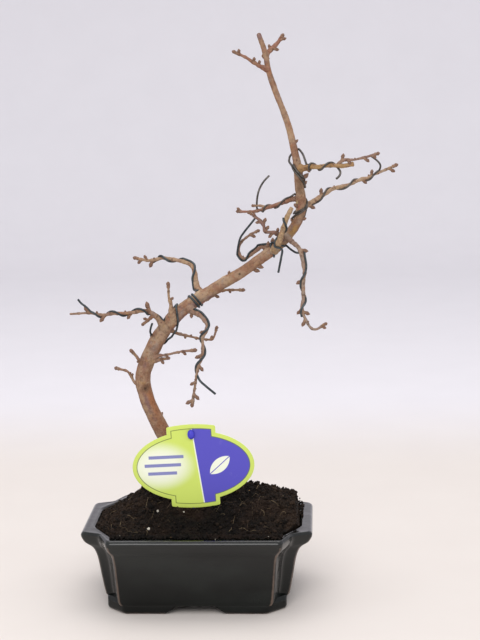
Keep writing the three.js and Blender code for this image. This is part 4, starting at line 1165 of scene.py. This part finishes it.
# One foot: a wall's section carried round a canted corner, between two slanted gaps.
def potFoot(skin, right, back):
    look = potLook
    sides = len(look["sideShares"])
    lines = []
    for inward, z in look["footSection"]:
        x, y = look["footLength"] / 2 - inward, look["footDepth"] / 2 - inward
        rise = min(z / look["footHeight"], look["footRise"])
        corners = [(mix(*look["frontGap"], rise), -y), (x - look["footCant"], -y),
                   (x, look["footCant"] - y), (x, -mix(*look["sideGap"], rise))]
        bends = roundedOutline(corners, look["footRound"], look["footSteps"])
        bends = bends.reshape(len(corners), -1, 2)
        line = [corners[:1], bends[0, -sides:], bends[1], bends[2], corners[3:]]
        lines.append(atLevel(np.concatenate(line), z))
    walls = np.stack(lines, axis=1) * [1 if right else -1, -1 if back else 1, 1]
    if right != back:
        walls = walls[:, ::-1]
    skin.grids(walls[None, :, ::-1], start=walls[0].mean(axis=0), end=walls[-1].mean(axis=0),
               thin=bell(walls[:, ::-1, 2], look["footEdge"]))


# Very dark green glaze, glossy, with an uneven surface that breaks its reflections. It is
# thicker and shinier towards the rim, turns brown where it has run thin, and has pinholes.
# The lighter brown down the panels' edges is thin glaze and painted highlight together.
def glazeMaterial():
    look = potLook
    paint = Paint("darkGlaze", roughness=0.1, ior=1.32, coat_roughness=0.09)
    shine = paint.axes(paint.place)[2].step(8, 54) * 0.5
    cloud = paint.noise(16, 3, 0.6)
    speckle = paint.noise(1.1, 2, 0.6, seed=5.0)
    ragged = paint.noise(4, 3, 0.6, seed=8.0) - 0.5
    # Brown where the glaze runs thin; down the panels' edges it is a painted highlight as well.
    bare = (paint.mark("thin") + ragged * 0.8).step(0.5, 1.1)
    wide = paint.vector("MULTIPLY", paint.place, {1: (0.4, 1, 1)})
    flow = paint.noise(26, 3, 0.55, at=wide, seed=3.0)
    pits = paint.cells(24).step(0.017, 0.011)
    base = paint.blend(cloud.step(0.35, 0.7), look["glaze"], look["glazeCloud"])
    base = paint.blend(flow.step(0.48, 0.62) * 0.6, base, look["glazeFlow"])
    base = paint.blend(speckle.step(0.6, 0.8) * 0.4, base, look["glazeSpeckle"])
    base = paint.blend(bare * 0.85, base, look["glazeThinAndHighlight"])
    base = paint.blend(pits, base, look["pinhole"])
    relief = (paint.noise(15, 2, 0.5, seed=2.0) * 1.2 + paint.noise(4.5, 2, 0.5) * 0.25
              + speckle * 0.03)
    return paint.use(relief, 0.6, base_color=base, roughness=0.1 + bare * 0.2 + cloud * 0.16,
                     coat_weight=shine)


# The pot: its shell and four feet.
def buildPot(material):
    skin = Skin()
    potShell(skin)
    for right in (True, False):
        for back in (True, False):
            potFoot(skin, right, back)
    skin.make("glazedPot", material, ["pot"])


buildPot(glazeMaterial())


# Soil

# Crumb size is [middle and spread of its logarithm, least, most]. Each spot on the rim is
# [lowest x and y, highest x and y].
soilLook = {
    "edgeHeight": 49.6, "rise": 18.5, "lump": 0.55, "front": 54.0, "back": 24.0, "left": 38.0,
    "right": 40.0, "bank": 0.66, "bankWidth": 3.5, "gap": 0.15, "inset": 0.4,
    "skirt": ((42.5, 4.9), (47, 2.3)), "rings": 64, "innermost": 0.012, "points": 300,
    "rough": ((1.0, 5.0, 0), (0.8, 2.3, 3), (0.45, 1.1, 5)), "surfaceTone": 0.06,
    # The front is darkened as painted shade on the bank that faces forwards.
    "tone": 0.3, "dryEnds": (0.34, 4, 14, 52), "shadedFront": (0.3, 30, 43),
    "seed": 23, "field": (67, 46), "crumbs": 6700, "crumbSize": (-0.55, 0.42, 0.25, 1.9),
    "sunk": (-0.1, 0.45), "rimTop": 50.9, "spill": 170, "spillSize": (0.3, 0.95),
    "spots": (((66.2, -4), (69.2, 33)), ((17, -48.6), (33, -46)), ((36, -48.2), (56, -46))),
    "lipSpill": 620, "lipSize": (0.4, 1.15), "lipRange": (-54, 56), "lipBack": -46.0,
    "lipWidth": (2.6, 5), "lipLumps": ((1, 8, 31),), "lipCrowd": 1.2, "lipSmaller": 0.6,
    "lipPile": 0.7, "pile": (66, 1.8, 4),
    "pale": 0.0013, "tan": 0.0025, "fibres": 95, "fibreField": ((-60, 62), (-44, 36)),
    "fibreInside": (63, 43), "fibreLength": (2.5, 10), "fibreBend": 0.6, "fibreSteps": 12,
    "fibreLift": (0.3, 1.8), "fibreThick": (0.07, 0.16), "fibreSides": 5,
}
soilTones = {
    "black": colour("090807"), "damp": colour("191411"), "dry": colour("2e2119"),
    "brown": colour("352920"), "grit": colour("66503a"), "oldFibre": colour("3d3126"),
    "fibre": colour("8a795e"), "tan": colour("9a7a4e"), "pale": colour("c9c2b4"),
}


# The heap: a soft ramp in from each side of the opening, multiplied together, with a steep
# bank along the right end and low waves over it all.
def soilHeight(x, y):
    look = soilLook
    halfLength, halfDepth = potLook["openingLength"] / 2, potLook["openingDepth"] / 2
    heap = (ramp(y + halfDepth, 0, look["front"]) * ramp(halfDepth - y, 0, look["back"])
            * ramp(x + halfLength, 0, look["left"]) * ramp(halfLength - x, 0, look["bankWidth"])
            * mix(look["bank"], 1, ramp(halfLength - x, 0, look["right"])))
    waves = (np.sin(x * 0.55 + 1.3) * np.sin(y * 0.62 + 0.4) + 0.6 * np.sin(x * 1.07 + y * 0.9)
             + 0.5 * np.sin(x * 0.21 - y * 0.33 + 2))
    return look["edgeHeight"] + look["rise"] * heap + look["lump"] * waves


# How brown the soil is, from 0 to 1: damp and black in the middle, drier towards both ends,
# and darker in front, where painted shade falls on the bank.
def soilTone(x, y):
    drier, middle, start, full = soilLook["dryEnds"]
    # Darker in front: painted shade on the bank.
    shading, *front = soilLook["shadedFront"]
    return (soilLook["tone"] + drier * ramp(np.abs(x - middle), start, full)
            - shading * ramp(-y, *front))


# An outline with its points evenly spaced, so that rings of it match.
def evenOutline(outline):
    closed = np.vstack([outline, outline[:1]])
    reach = np.concatenate([[0], np.cumsum(np.linalg.norm(np.diff(closed, axis=0), axis=1))])
    spots = np.linspace(0, reach[-1], soilLook["points"], endpoint=False)
    return np.column_stack([np.interp(spots, reach, row) for row in closed.T])


# The surface: outlines of the opening drawn in towards its middle, raised by the heap and by
# clods of three sizes, with a skirt down inside the pot.
def soilSurface(skin):
    look = soilLook
    edge = evenOutline(openingOutline(look["inset"], look["gap"]))
    share = np.linspace(1, look["innermost"], look["rings"])[:, None]
    x, y = edge[:, 0] * share, edge[:, 1] * share
    heap = np.stack([x, y, soilHeight(x, y)], axis=-1)
    heap[..., 2] += layers(heap, look["rough"]) * ramp(1 - share, 0, 0.03)
    skirt = [atLevel(evenOutline(openingOutline(inward, look["gap"])), z)
             for z, inward in look["skirt"]]
    rows = np.concatenate([skirt, heap])
    skin.grids(rows[None], start=skirt[0].mean(axis=0), end=heap[-1].mean(axis=0),
               tone=look["surfaceTone"] + soilTone(rows[..., 0], rows[..., 1]))


# A crumb of 20 faces: an icosahedron with its corners on a ball of radius 1.
def icosahedron():
    ratio = (1 + 5 ** 0.5) / 2
    base = np.array([(-1, ratio, 0), (1, ratio, 0), (-1, -ratio, 0), (1, -ratio, 0),
                     (0, -1, ratio), (0, 1, ratio), (0, -1, -ratio), (0, 1, -ratio),
                     (ratio, 0, -1), (ratio, 0, 1), (-ratio, 0, -1), (-ratio, 0, 1)])
    faces = np.array([(0, 11, 5), (0, 5, 1), (0, 1, 7), (0, 7, 10), (0, 10, 11), (1, 5, 9),
                      (5, 11, 4), (11, 10, 2), (10, 7, 6), (7, 1, 8), (3, 9, 4), (3, 4, 2),
                      (3, 2, 6), (3, 6, 8), (3, 8, 9), (4, 9, 5), (2, 4, 11), (6, 2, 10),
                      (8, 6, 7), (9, 8, 1)])
    return unit(base), faces


# Places and sizes of the crumbs on the heap, all over it but for its cut corners.
def heapCrumbs(dice):
    look = soilLook
    halfX, halfY = look["field"]
    cutX, cutY = potLook["openingCut"]
    x = dice.uniform(-halfX, halfX, look["crumbs"])
    y = dice.uniform(-halfY, halfY, look["crumbs"])
    kept = (np.abs(x) - halfX) / cutX + (np.abs(y) - halfY) / cutY < -1
    x, y = x[kept], y[kept]
    middle, spread, least, most = look["crumbSize"]
    size = np.exp(dice.normal(middle, spread, len(x))).clip(least, most)
    place = np.column_stack([x, y, soilHeight(x, y)])
    place[:, 2] += layers(place, look["rough"]) + size * dice.uniform(*look["sunk"], len(x))
    return place, size


# Those on the rim: piled against the bank at the right, and in two spots in front.
def rimCrumbs(dice):
    look = soilLook
    count = look["spill"]
    spots = np.array(look["spots"])[dice.integers(0, len(look["spots"]), count)]
    x = dice.uniform(spots[:, 0, 0], spots[:, 1, 0])
    y = dice.uniform(spots[:, 0, 1], spots[:, 1, 1])
    size = dice.uniform(*look["spillSize"], count)
    edge, width, height = look["pile"]
    pile = bell(x - edge, width) * dice.uniform(0, height, count)
    return np.column_stack([x, y, look["rimTop"] + size * 0.5 + pile]), size


# Those in a ragged strip along the front of the rim, which is thicker next to the soil.
def lipCrumbs(dice):
    look = soilLook
    count = look["lipSpill"]
    x = dice.uniform(*look["lipRange"], count)
    ragged = layers(np.column_stack([x, 0 * x, 0 * x]), look["lipLumps"])
    width = mix(*look["lipWidth"], ramp(ragged, -0.6, 0.6))
    share = dice.uniform(0, 1, count) ** look["lipCrowd"]
    size = dice.uniform(*look["lipSize"], count) * mix(1.1, look["lipSmaller"], share)
    z = look["rimTop"] + size * 0.45 + look["lipPile"] * (1 - share)
    return np.column_stack([x, look["lipBack"] - width * share, z]), size


# Crumbs: icosahedra with their corners pushed in and out, stretched and turned at random.
def soilCrumbs(skin):
    look = soilLook
    dice = np.random.default_rng(look["seed"])
    groups = [lay(dice) for lay in (heapCrumbs, rimCrumbs, lipCrumbs)]
    place, size = (np.concatenate(part) for part in zip(*groups))
    corners, faces = icosahedron()
    count = len(size)
    turn = np.linalg.qr(dice.normal(size=(count, 3, 3)))[0]
    turn[np.linalg.det(turn) < 0] *= -1
    dents = 1 + dice.uniform(-0.25, 0.3, (count, len(corners), 1))
    stretch = dice.uniform(0.7, 1.3, (count, 1, 3))
    points = (corners * dents * stretch) @ turn * size[:, None, None] + place[:, None]
    tone = np.clip(soilTone(*place[:, :2].T) + dice.normal(0.04, 0.2, count), 0, 1)
    chance = dice.uniform(size=count)
    tone = np.where(chance < look["pale"] + look["tan"], 2.0, tone)
    tone = np.where(chance < look["pale"], 3.0, tone)
    first = np.arange(count)[:, None, None] * len(corners)
    skin.add(points, [(faces + first).reshape(-1, 3)], {"tone": np.repeat(tone, len(corners))})


# Fibres: thin arcs over the surface, each a small section carried along a bent line.
def soilFibres(skin):
    look = soilLook
    dice = np.random.default_rng(look["seed"] + 1)
    count = look["fibres"]
    start = np.column_stack([dice.uniform(*reach, count) for reach in look["fibreField"]])
    heading = dice.uniform(0, 2 * np.pi, count)
    length = dice.uniform(*look["fibreLength"], count)
    bend = dice.normal(0, look["fibreBend"], count)
    t = np.linspace(0, 1, look["fibreSteps"])
    angle = heading[:, None] + bend[:, None] * t
    run = np.cumsum(np.stack([np.cos(angle), np.sin(angle)], axis=-1), axis=1)
    path = start[:, None] + run * length[:, None, None] / len(t)
    inside = (np.abs(path).max(axis=1) < look["fibreInside"]).all(axis=1)
    path, angle = path[inside], angle[inside]
    count = len(path)
    lift = dice.uniform(*look["fibreLift"], (count, 1)) * np.sin(np.pi * t) + 0.7
    height = soilHeight(path[..., 0], path[..., 1]) + lift
    centre = np.concatenate([path, height[..., None]], axis=-1)
    side = np.stack([-np.sin(angle), np.cos(angle), np.zeros_like(angle)], axis=-1)
    thick = dice.uniform(*look["fibreThick"], (count, 1, 1, 1)) * (1 - 0.6 * t[:, None, None])
    out = spokes(side, np.array([0.0, 0.0, 1.0]), circle(look["fibreSides"]))
    skin.grids(centre[:, :, None] + out * thick, start=centre[:, 0], end=centre[:, -1],
               tone=dice.uniform(1.1, 1.7, count)[:, None, None])


# Damp potting soil: nearly black, with browner crumbs and grit. A tone over 1 is a fibre, 2
# a tan speck and 3 a pale one.
def soilMaterial():
    look = soilTones
    paint = Paint("pottingSoil", roughness=0.9, ior=1.35, specular_ior_level=0.2)
    tone = paint.mark("tone")
    grit = paint.noise(0.9, 3, 0.65)
    dry = paint.noise(17, 3, 0.6, seed=4.0).step(0.42, 0.66)
    fibre = paint.blend(tone.step(1.1, 1.7), look["oldFibre"], look["fibre"])
    base = paint.blend(paint.noise(2.6, 3, 0.6).step(0.35, 0.7), look["black"], look["damp"])
    base = paint.blend(dry * 0.5, base, look["dry"])
    base = paint.blend(tone.step(0.5, 0.95) * 0.7, base, look["brown"])
    base = paint.blend(grit.step(0.58, 0.7) * (0.15 + tone.step(0.2, 0.7) * 0.5), base,
                       look["grit"])
    base = paint.blend(tone.step(1.0, 1.15), base, fibre)
    base = paint.blend(tone.step(1.8, 1.95), base, look["tan"])
    base = paint.blend(tone.step(2.7, 2.9), base, look["pale"])
    return paint.use(grit * 0.5, 0.9, base_color=base, roughness=0.95 - grit * 0.3)


# The soil in one skin: its surface, crumbs and fibres.
def buildSoil(material):
    skin = Skin()
    soilSurface(skin)
    soilCrumbs(skin)
    soilFibres(skin)
    skin.make("pottingSoil", material, ["soil"], flat=True)


buildSoil(soilMaterial())


# Plant label and its peg

# The peg's levels are [height, how wide], and the knob's sections [forwards, half width, half
# height], both from the middle of the label.
labelLook = {
    "place": [-2, -17, 90.5], "lean": 3.0, "roll": 2.6, "halfLength": 40.0, "halfHeight": 24.0,
    "tabHalf": 16.0, "tabReach": 27.0, "tabEase": 0.8, "bulge": 1.5, "thickness": 0.8,
    "edgeRound": 0.22, "edgeTurns": (0, 30, 60, 90), "faceShares": (0.25, 0.6, 0.9),
    "ovalPoints": 60, "sidePoints": 5, "endPoints": 30,
    "border": 2.7, "line": 0.45, "slant": 0.1, "slantShift": -3.0,
    "bars": ((7, -29, -6), (1.5, -32, -8), (-4, -30, -11)), "barHalf": 1.1,
    "glow": (-22, 1), "glowFlat": 0.5, "glowReach": (330, 20),
    "leafTurn": (0.76, 0.65), "leafShift": (-13.2, 11.3), "leafDisc": 7, "leafReach": (129.5, 127),
    "lime": colour("cadc66"), "limeField": colour("cbde66"), "pale": colour("eff3e0"),
    "violet": colour("524cbc"), "bar": colour("5f64b4"), "fineLine": colour("5d6a34"),
    "back": colour("e4e6da"), "scuff": colour("f4f4f0"),
}
pegLook = {
    "half": 2.5, "thickness": 2.4, "gap": 0.35, "sides": 24, "square": 0.45, "thinnest": 0.4,
    "levels": ((-60, 0.02), (-59.2, 0.12), (-56, 0.5), (-52.4, 0.94), (-51.4, 1), (-30, 1),
               (0, 1), (20, 1), (24.6, 1), (25.2, 0.94), (25.5, 0.8)),
    "ends": (-60.1, 25.5), "holeHeight": 22.0,
    "knob": ((-0.8, 1.9, 1.9), (1.0, 1.9, 1.9), (1.15, 2.0, 2.4), (1.3, 2.2, 3.1),
             (1.8, 2.3, 3.3), (2.5, 2.25, 3.2), (3.2, 1.9, 2.7), (3.8, 1.1, 1.7)),
    "knobEnds": (-0.8, 4.0),
}


# From the label's own plane, x to the right, y up and z out of its face, to its leaning place.
def onLabel(points):
    lean, roll = np.radians([90 + labelLook["lean"], labelLook["roll"]])
    tip = np.array([[1, 0, 0], [0, np.cos(lean), -np.sin(lean)], [0, np.sin(lean), np.cos(lean)]])
    spin = np.array([[np.cos(roll), -np.sin(roll), 0], [np.sin(roll), np.cos(roll), 0],
                     [0, 0, 1]])
    return np.asarray(points, float) @ (tip @ spin).T + labelLook["place"]


# The plate's outline: an oval, joined to a tab above and below. A tab has straight sides, small
# round corners and an end bowed out as 1 - x squared.
def labelOutline():
    look = labelLook
    half, reach, ease = look["tabHalf"], look["tabReach"], look["tabEase"]
    start = np.arccos(half / look["halfLength"])
    turn = np.linspace(-start, start, look["ovalPoints"])
    oval = np.column_stack([look["halfLength"] * np.cos(turn), look["halfHeight"] * np.sin(turn)])
    rise = np.linspace(oval[-1, 1], reach - ease, look["sidePoints"] + 1)[1:]
    side = np.column_stack([np.full(len(rise), half), rise])
    x = np.linspace(half - ease, ease - half, look["endPoints"])
    end = np.column_stack([x, reach + look["bulge"] * (1 - (x / half) ** 2)])
    easing = np.array([half - 0.3 * ease, reach - 0.25 * ease])
    mirror = [-1, 1]
    loop = np.concatenate([oval, side, [easing], end, [easing * mirror], side[::-1] * mirror])
    return np.concatenate([loop, -loop])


# The plate: its outline drawn in from nothing at the middle of the back, round an edge that
# follows a quarter circle on either side, and back to the middle of the front.
def buildLabel(material):
    look = labelLook
    loop = labelOutline()
    slope = unit(np.roll(loop, -1, axis=0) - np.roll(loop, 1, axis=0))
    outside = np.column_stack([slope[:, 1], -slope[:, 0]])
    soft, thick, shares = look["edgeRound"], look["thickness"], look["faceShares"]
    edge = [(outside * soft * (np.sin(angle) - 1), soft * (1 - np.cos(angle)))
            for angle in np.radians(look["edgeTurns"])]
    rings = [atLevel(loop * share, 0) for share in shares]
    rings += [atLevel(loop + inset, height) for inset, height in edge]
    rings += [atLevel(loop + inset, thick - height) for inset, height in edge[::-1]]
    rings += [atLevel(loop * share, thick) for share in shares[::-1]]
    rings = np.stack(rings)
    skin = Skin()
    skin.grids(onLabel(rings)[None], start=onLabel([0, 0, 0]), end=onLabel([0, 0, thick]),
               plane=rings[None])
    skin.make("plantLabel", material, ["label_plate"])


# The peg: a flat blade of rounded section, drawn to a point at its foot, a neck through the
# plate and an oval knob in front of it, each a row of sections.
def buildPeg(material):
    look = pegLook
    skin = Skin()
    turn = circle(look["sides"])
    across, ahead = (np.sign(wave) * np.abs(wave) ** look["square"]
                     for wave in (np.cos(turn), np.sin(turn)))
    half = look["thickness"] / 2
    back = -look["gap"] - half
    blade = np.stack([np.column_stack([
        across * look["half"] * wide, np.full(len(turn), y),
        back - ahead * half * max(wide, look["thinnest"])]) for y, wide in look["levels"]])
    foot, head = ([0, y, back] for y in look["ends"])
    skin.grids(onLabel(blade)[None], start=onLabel(foot), end=onLabel(head))
    knob = np.stack([atLevel(np.column_stack([
        np.cos(turn) * wide, look["holeHeight"] + np.sin(turn) * high]), z)
        for z, wide, high in look["knob"]])
    behind, before = ([0, look["holeHeight"], z] for z in look["knobEnds"])
    skin.grids(onLabel(knob)[None], start=onLabel(behind), end=onLabel(before))
    skin.make("labelPeg", material, ["label_peg"])


# The print: a lime border that follows the outline, with a fine inner line, then a field that
# is lime to pale on the left of a slanted edge and violet on the right. There is a plain leaf
# on one side and plain bars on the other. Gaps are measured inwards from the border.
def labelMaterial():
    look = labelLook
    paint = Paint("printedPlastic", roughness=0.32, ior=1.46)
    x, y, z = paint.axes(paint.mark("plane", "Vector"))
    long, short = look["halfLength"] - look["border"], look["halfHeight"] - look["border"]
    reach = paint.maths("SQRT", x * x / long ** 2 + y * y / short ** 2)
    steep = paint.maths("SQRT", x * x / long ** 4 + y * y / short ** 4)
    ovalGap = (1 - reach) * reach / steep
    end = look["tabReach"] + look["bulge"] - look["border"] - x * x * (
        look["bulge"] / look["tabHalf"] ** 2)
    tabGap = paint.maths("MINIMUM", look["tabHalf"] - look["border"] - paint.size(x),
                         end - paint.size(y))
    gap = paint.maths("MAXIMUM", ovalGap, tabGap)

    # The pale glow is an oval on the lime field.
    glowX, glowY = look["glow"]
    glow = (x - glowX) * (x - glowX) * look["glowFlat"] + (y - glowY) * (y - glowY)
    field = paint.blend(glow.step(*look["glowReach"]), look["limeField"], look["pale"])
    slanted = x + y * look["slant"] + look["slantShift"]
    side = slanted.step(-0.08, 0.08)
    field = paint.blend(side, field, look["violet"])

    # The leaf is where two discs overlap, with a rib along it.
    (cosine, sine), (shiftU, shiftV) = look["leafTurn"], look["leafShift"]
    u, v = x * cosine + y * sine + shiftU, y * cosine - x * sine + shiftV
    above, below = v - look["leafDisc"], v + look["leafDisc"]
    lens = paint.maths("MAXIMUM", u * u + above * above, u * u + below * below)
    leaf = lens.step(*look["leafReach"]) * paint.size(v).step(0.22, 0.34)
    field = paint.blend(leaf * side, field, look["pale"])
    soft = 0.05
    for height, left, right in look["bars"]:
        across = paint.size(y - height).step(look["barHalf"] + soft, look["barHalf"] - soft)
        along = (x - left).step(-soft, soft) * (x - right).step(soft, -soft)
        field = paint.blend(across * along * 0.85, field, look["bar"])
    wide, half = look["line"], look["line"] / 2
    field = paint.blend(paint.size(slanted).step(wide, wide - 0.15), field, look["pale"])
    printed = paint.blend(gap.step(-0.06, 0.06), look["lime"], field)
    line = paint.size(gap - half).step(half + 0.08, half)
    printed = paint.blend(line * 0.85, printed, look["fineLine"])
    base = paint.blend(z.step(0.3, 0.5), look["back"], printed)
    grain = paint.noise(1.2, 2, 0.5)
    scuffs = paint.noise(11, 4, 0.7, seed=6.0)
    base = paint.blend(scuffs.step(0.6, 0.8) * 0.1, base, look["scuff"])
    return paint.use(grain * 0.03 + scuffs * 0.12, 0.35, base_color=base,
                     roughness=0.26 + scuffs * 0.16)


# Moulded plastic, faintly clouded, with a fine grain.
def mouldedMaterial(name, dark, light, size):
    paint = Paint(name, roughness=0.4, ior=1.46)
    cloud = paint.noise(size * 4, 3, 0.6)
    grain = paint.noise(size, 3, 0.6, seed=2.0)
    base = paint.blend(cloud.step(0.3, 0.7), dark, light)
    return paint.use(grain * 0.06, 0.4, base_color=base, roughness=0.3 + grain * 0.25)


buildLabel(labelMaterial())
buildPeg(mouldedMaterial("bluePlastic", colour("3430b4"), colour("4642c8"), 0.8))
netting = mouldedMaterial("blackNetting", colour("141414"), colour("242422"), 1.0)
for name in ("drain_mesh_left", "drain_mesh_right"):
    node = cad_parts[name]
    node.data.materials.clear()
    node.data.materials.append(netting)
print("materials done")


# Table, lights and camera

# A light is [place, target, size, power].
stageLook = {
    "front": -1500.0, "bend": 1500.0, "curve": 600.0, "height": 2600.0, "halfWidth": 3200.0,
    "world": 0.9, "worldTone": (0.96, 0.965, 1.0, 1.0), "toneChange": (300.0, 620.0),
    "floorTones": (colour("dbd3cd"), colour("e0d9d3")),
    "wallTones": (colour("e3e0e4"), colour("e8e5e9")), "lightTone": (1.0, 0.98, 0.96),
    "keyLight": ((0, 350, 1350), (20, 0, 120), (1100, 800), 6),
    "frontLight": ((-100, -1150, 900), (20, 0, 150), (900, 700), 8),
}


# Pale matt card, faintly clouded, with a cooler tone from the back of the table upwards.
def cardMaterial():
    look = stageLook
    paint = Paint("paleTable", roughness=0.6, specular_ior_level=0.2)
    cloud = paint.noise(60, 3, 0.5)
    far = paint.axes(paint.place)[1].step(*look["toneChange"])
    base = paint.blend(far, paint.blend(cloud, *look["floorTones"]),
                       paint.blend(cloud, *look["wallTones"]))
    return paint.use(cloud * 0.02, 0.1, base_color=base, roughness=0.5 + cloud * 0.1)


# The table runs back, turns up through a quarter circle and ends as a wall.
def buildStage(material):
    look = stageLook
    bend, curve = look["bend"], look["curve"]
    floor = [(y, 0.0) for y in np.linspace(look["front"], bend, 30)]
    arc = [(bend + curve * np.sin(turn), curve * (1 - np.cos(turn)))
           for turn in np.linspace(0, np.pi / 2, 40)[1:]]
    wall = [(bend + curve, z) for z in np.linspace(curve, look["height"], 10)[1:]]
    profile = np.array(floor + arc + wall)
    x = np.linspace(look["halfWidth"], -look["halfWidth"], 30)
    points = np.empty((len(profile), len(x), 3))
    points[..., 0] = x
    points[..., 1:] = profile[:, None]
    skin = Skin()
    skin.grids(points[None], around=False)
    skin.build("table", material)


# Turns an object to its own side, up and backward ways, at a place in millimetres.
def stand(thing, side, up, back, place):
    turn = Matrix(np.column_stack([side, up, back]).tolist()).to_4x4()
    turn.translation = (np.array(place) * millimetre + potMiddle).tolist()
    thing.matrix_world = turn


# An area light turned to face a target, both in millimetres.
def areaLight(name, place, target, size, power):
    data = bpy.data.lights.new(name, "AREA")
    data.shape = "RECTANGLE"
    data.size, data.size_y = np.array(size) * millimetre
    data.energy = power
    data.color = stageLook["lightTone"]
    away = unit(np.array(place, float) - target)
    side = unit(np.cross([0, 0, 1], away))
    stand(linked(name, data), side, np.cross(away, side), away, place)


# A pale world all round, a light from above and one from the front.
def buildLights():
    world = bpy.data.worlds.new("studio")
    bpy.context.scene.world = world
    world.use_nodes = True
    background = world.node_tree.nodes["Background"]
    background.inputs["Color"].default_value = stageLook["worldTone"]
    background.inputs["Strength"].default_value = stageLook["world"]
    for name in ("keyLight", "frontLight"):
        areaLight(name, *stageLook[name])


cameraLook = {
    "place": [82.7116, -1062.7338, 367.3412], "yaw": -0.0502915, "pitch": 0.1703846,
    "roll": -0.0164172, "focus": 1650.0, "imageHeight": 640.0, "film": 36, "clip": (0.05, 20),
}


# The camera looks along a direction given by its yaw and pitch, and is rolled about it. Its
# focal length is in pixels of the image's height.
def buildCamera():
    look = cameraLook
    yaw, pitch, roll = look["yaw"], look["pitch"], look["roll"]
    ahead = np.array([np.sin(yaw) * np.cos(pitch), np.cos(yaw) * np.cos(pitch), -np.sin(pitch)])
    right = np.array([np.cos(yaw), -np.sin(yaw), 0])
    up = np.cross(right, ahead)
    right, up = (np.cos(roll) * right + np.sin(roll) * up,
                 np.cos(roll) * up - np.sin(roll) * right)
    data = bpy.data.cameras.new("camera")
    data.sensor_fit = "VERTICAL"
    data.sensor_width = data.sensor_height = look["film"]
    data.lens = look["focus"] / look["imageHeight"] * look["film"]
    data.clip_start, data.clip_end = look["clip"]
    camera = linked("camera", data)
    stand(camera, right, up, -ahead, look["place"])
    bpy.context.scene.camera = camera


buildStage(cardMaterial())
buildLights()
buildCamera()
bpy.context.scene.view_settings.view_transform = "Standard"
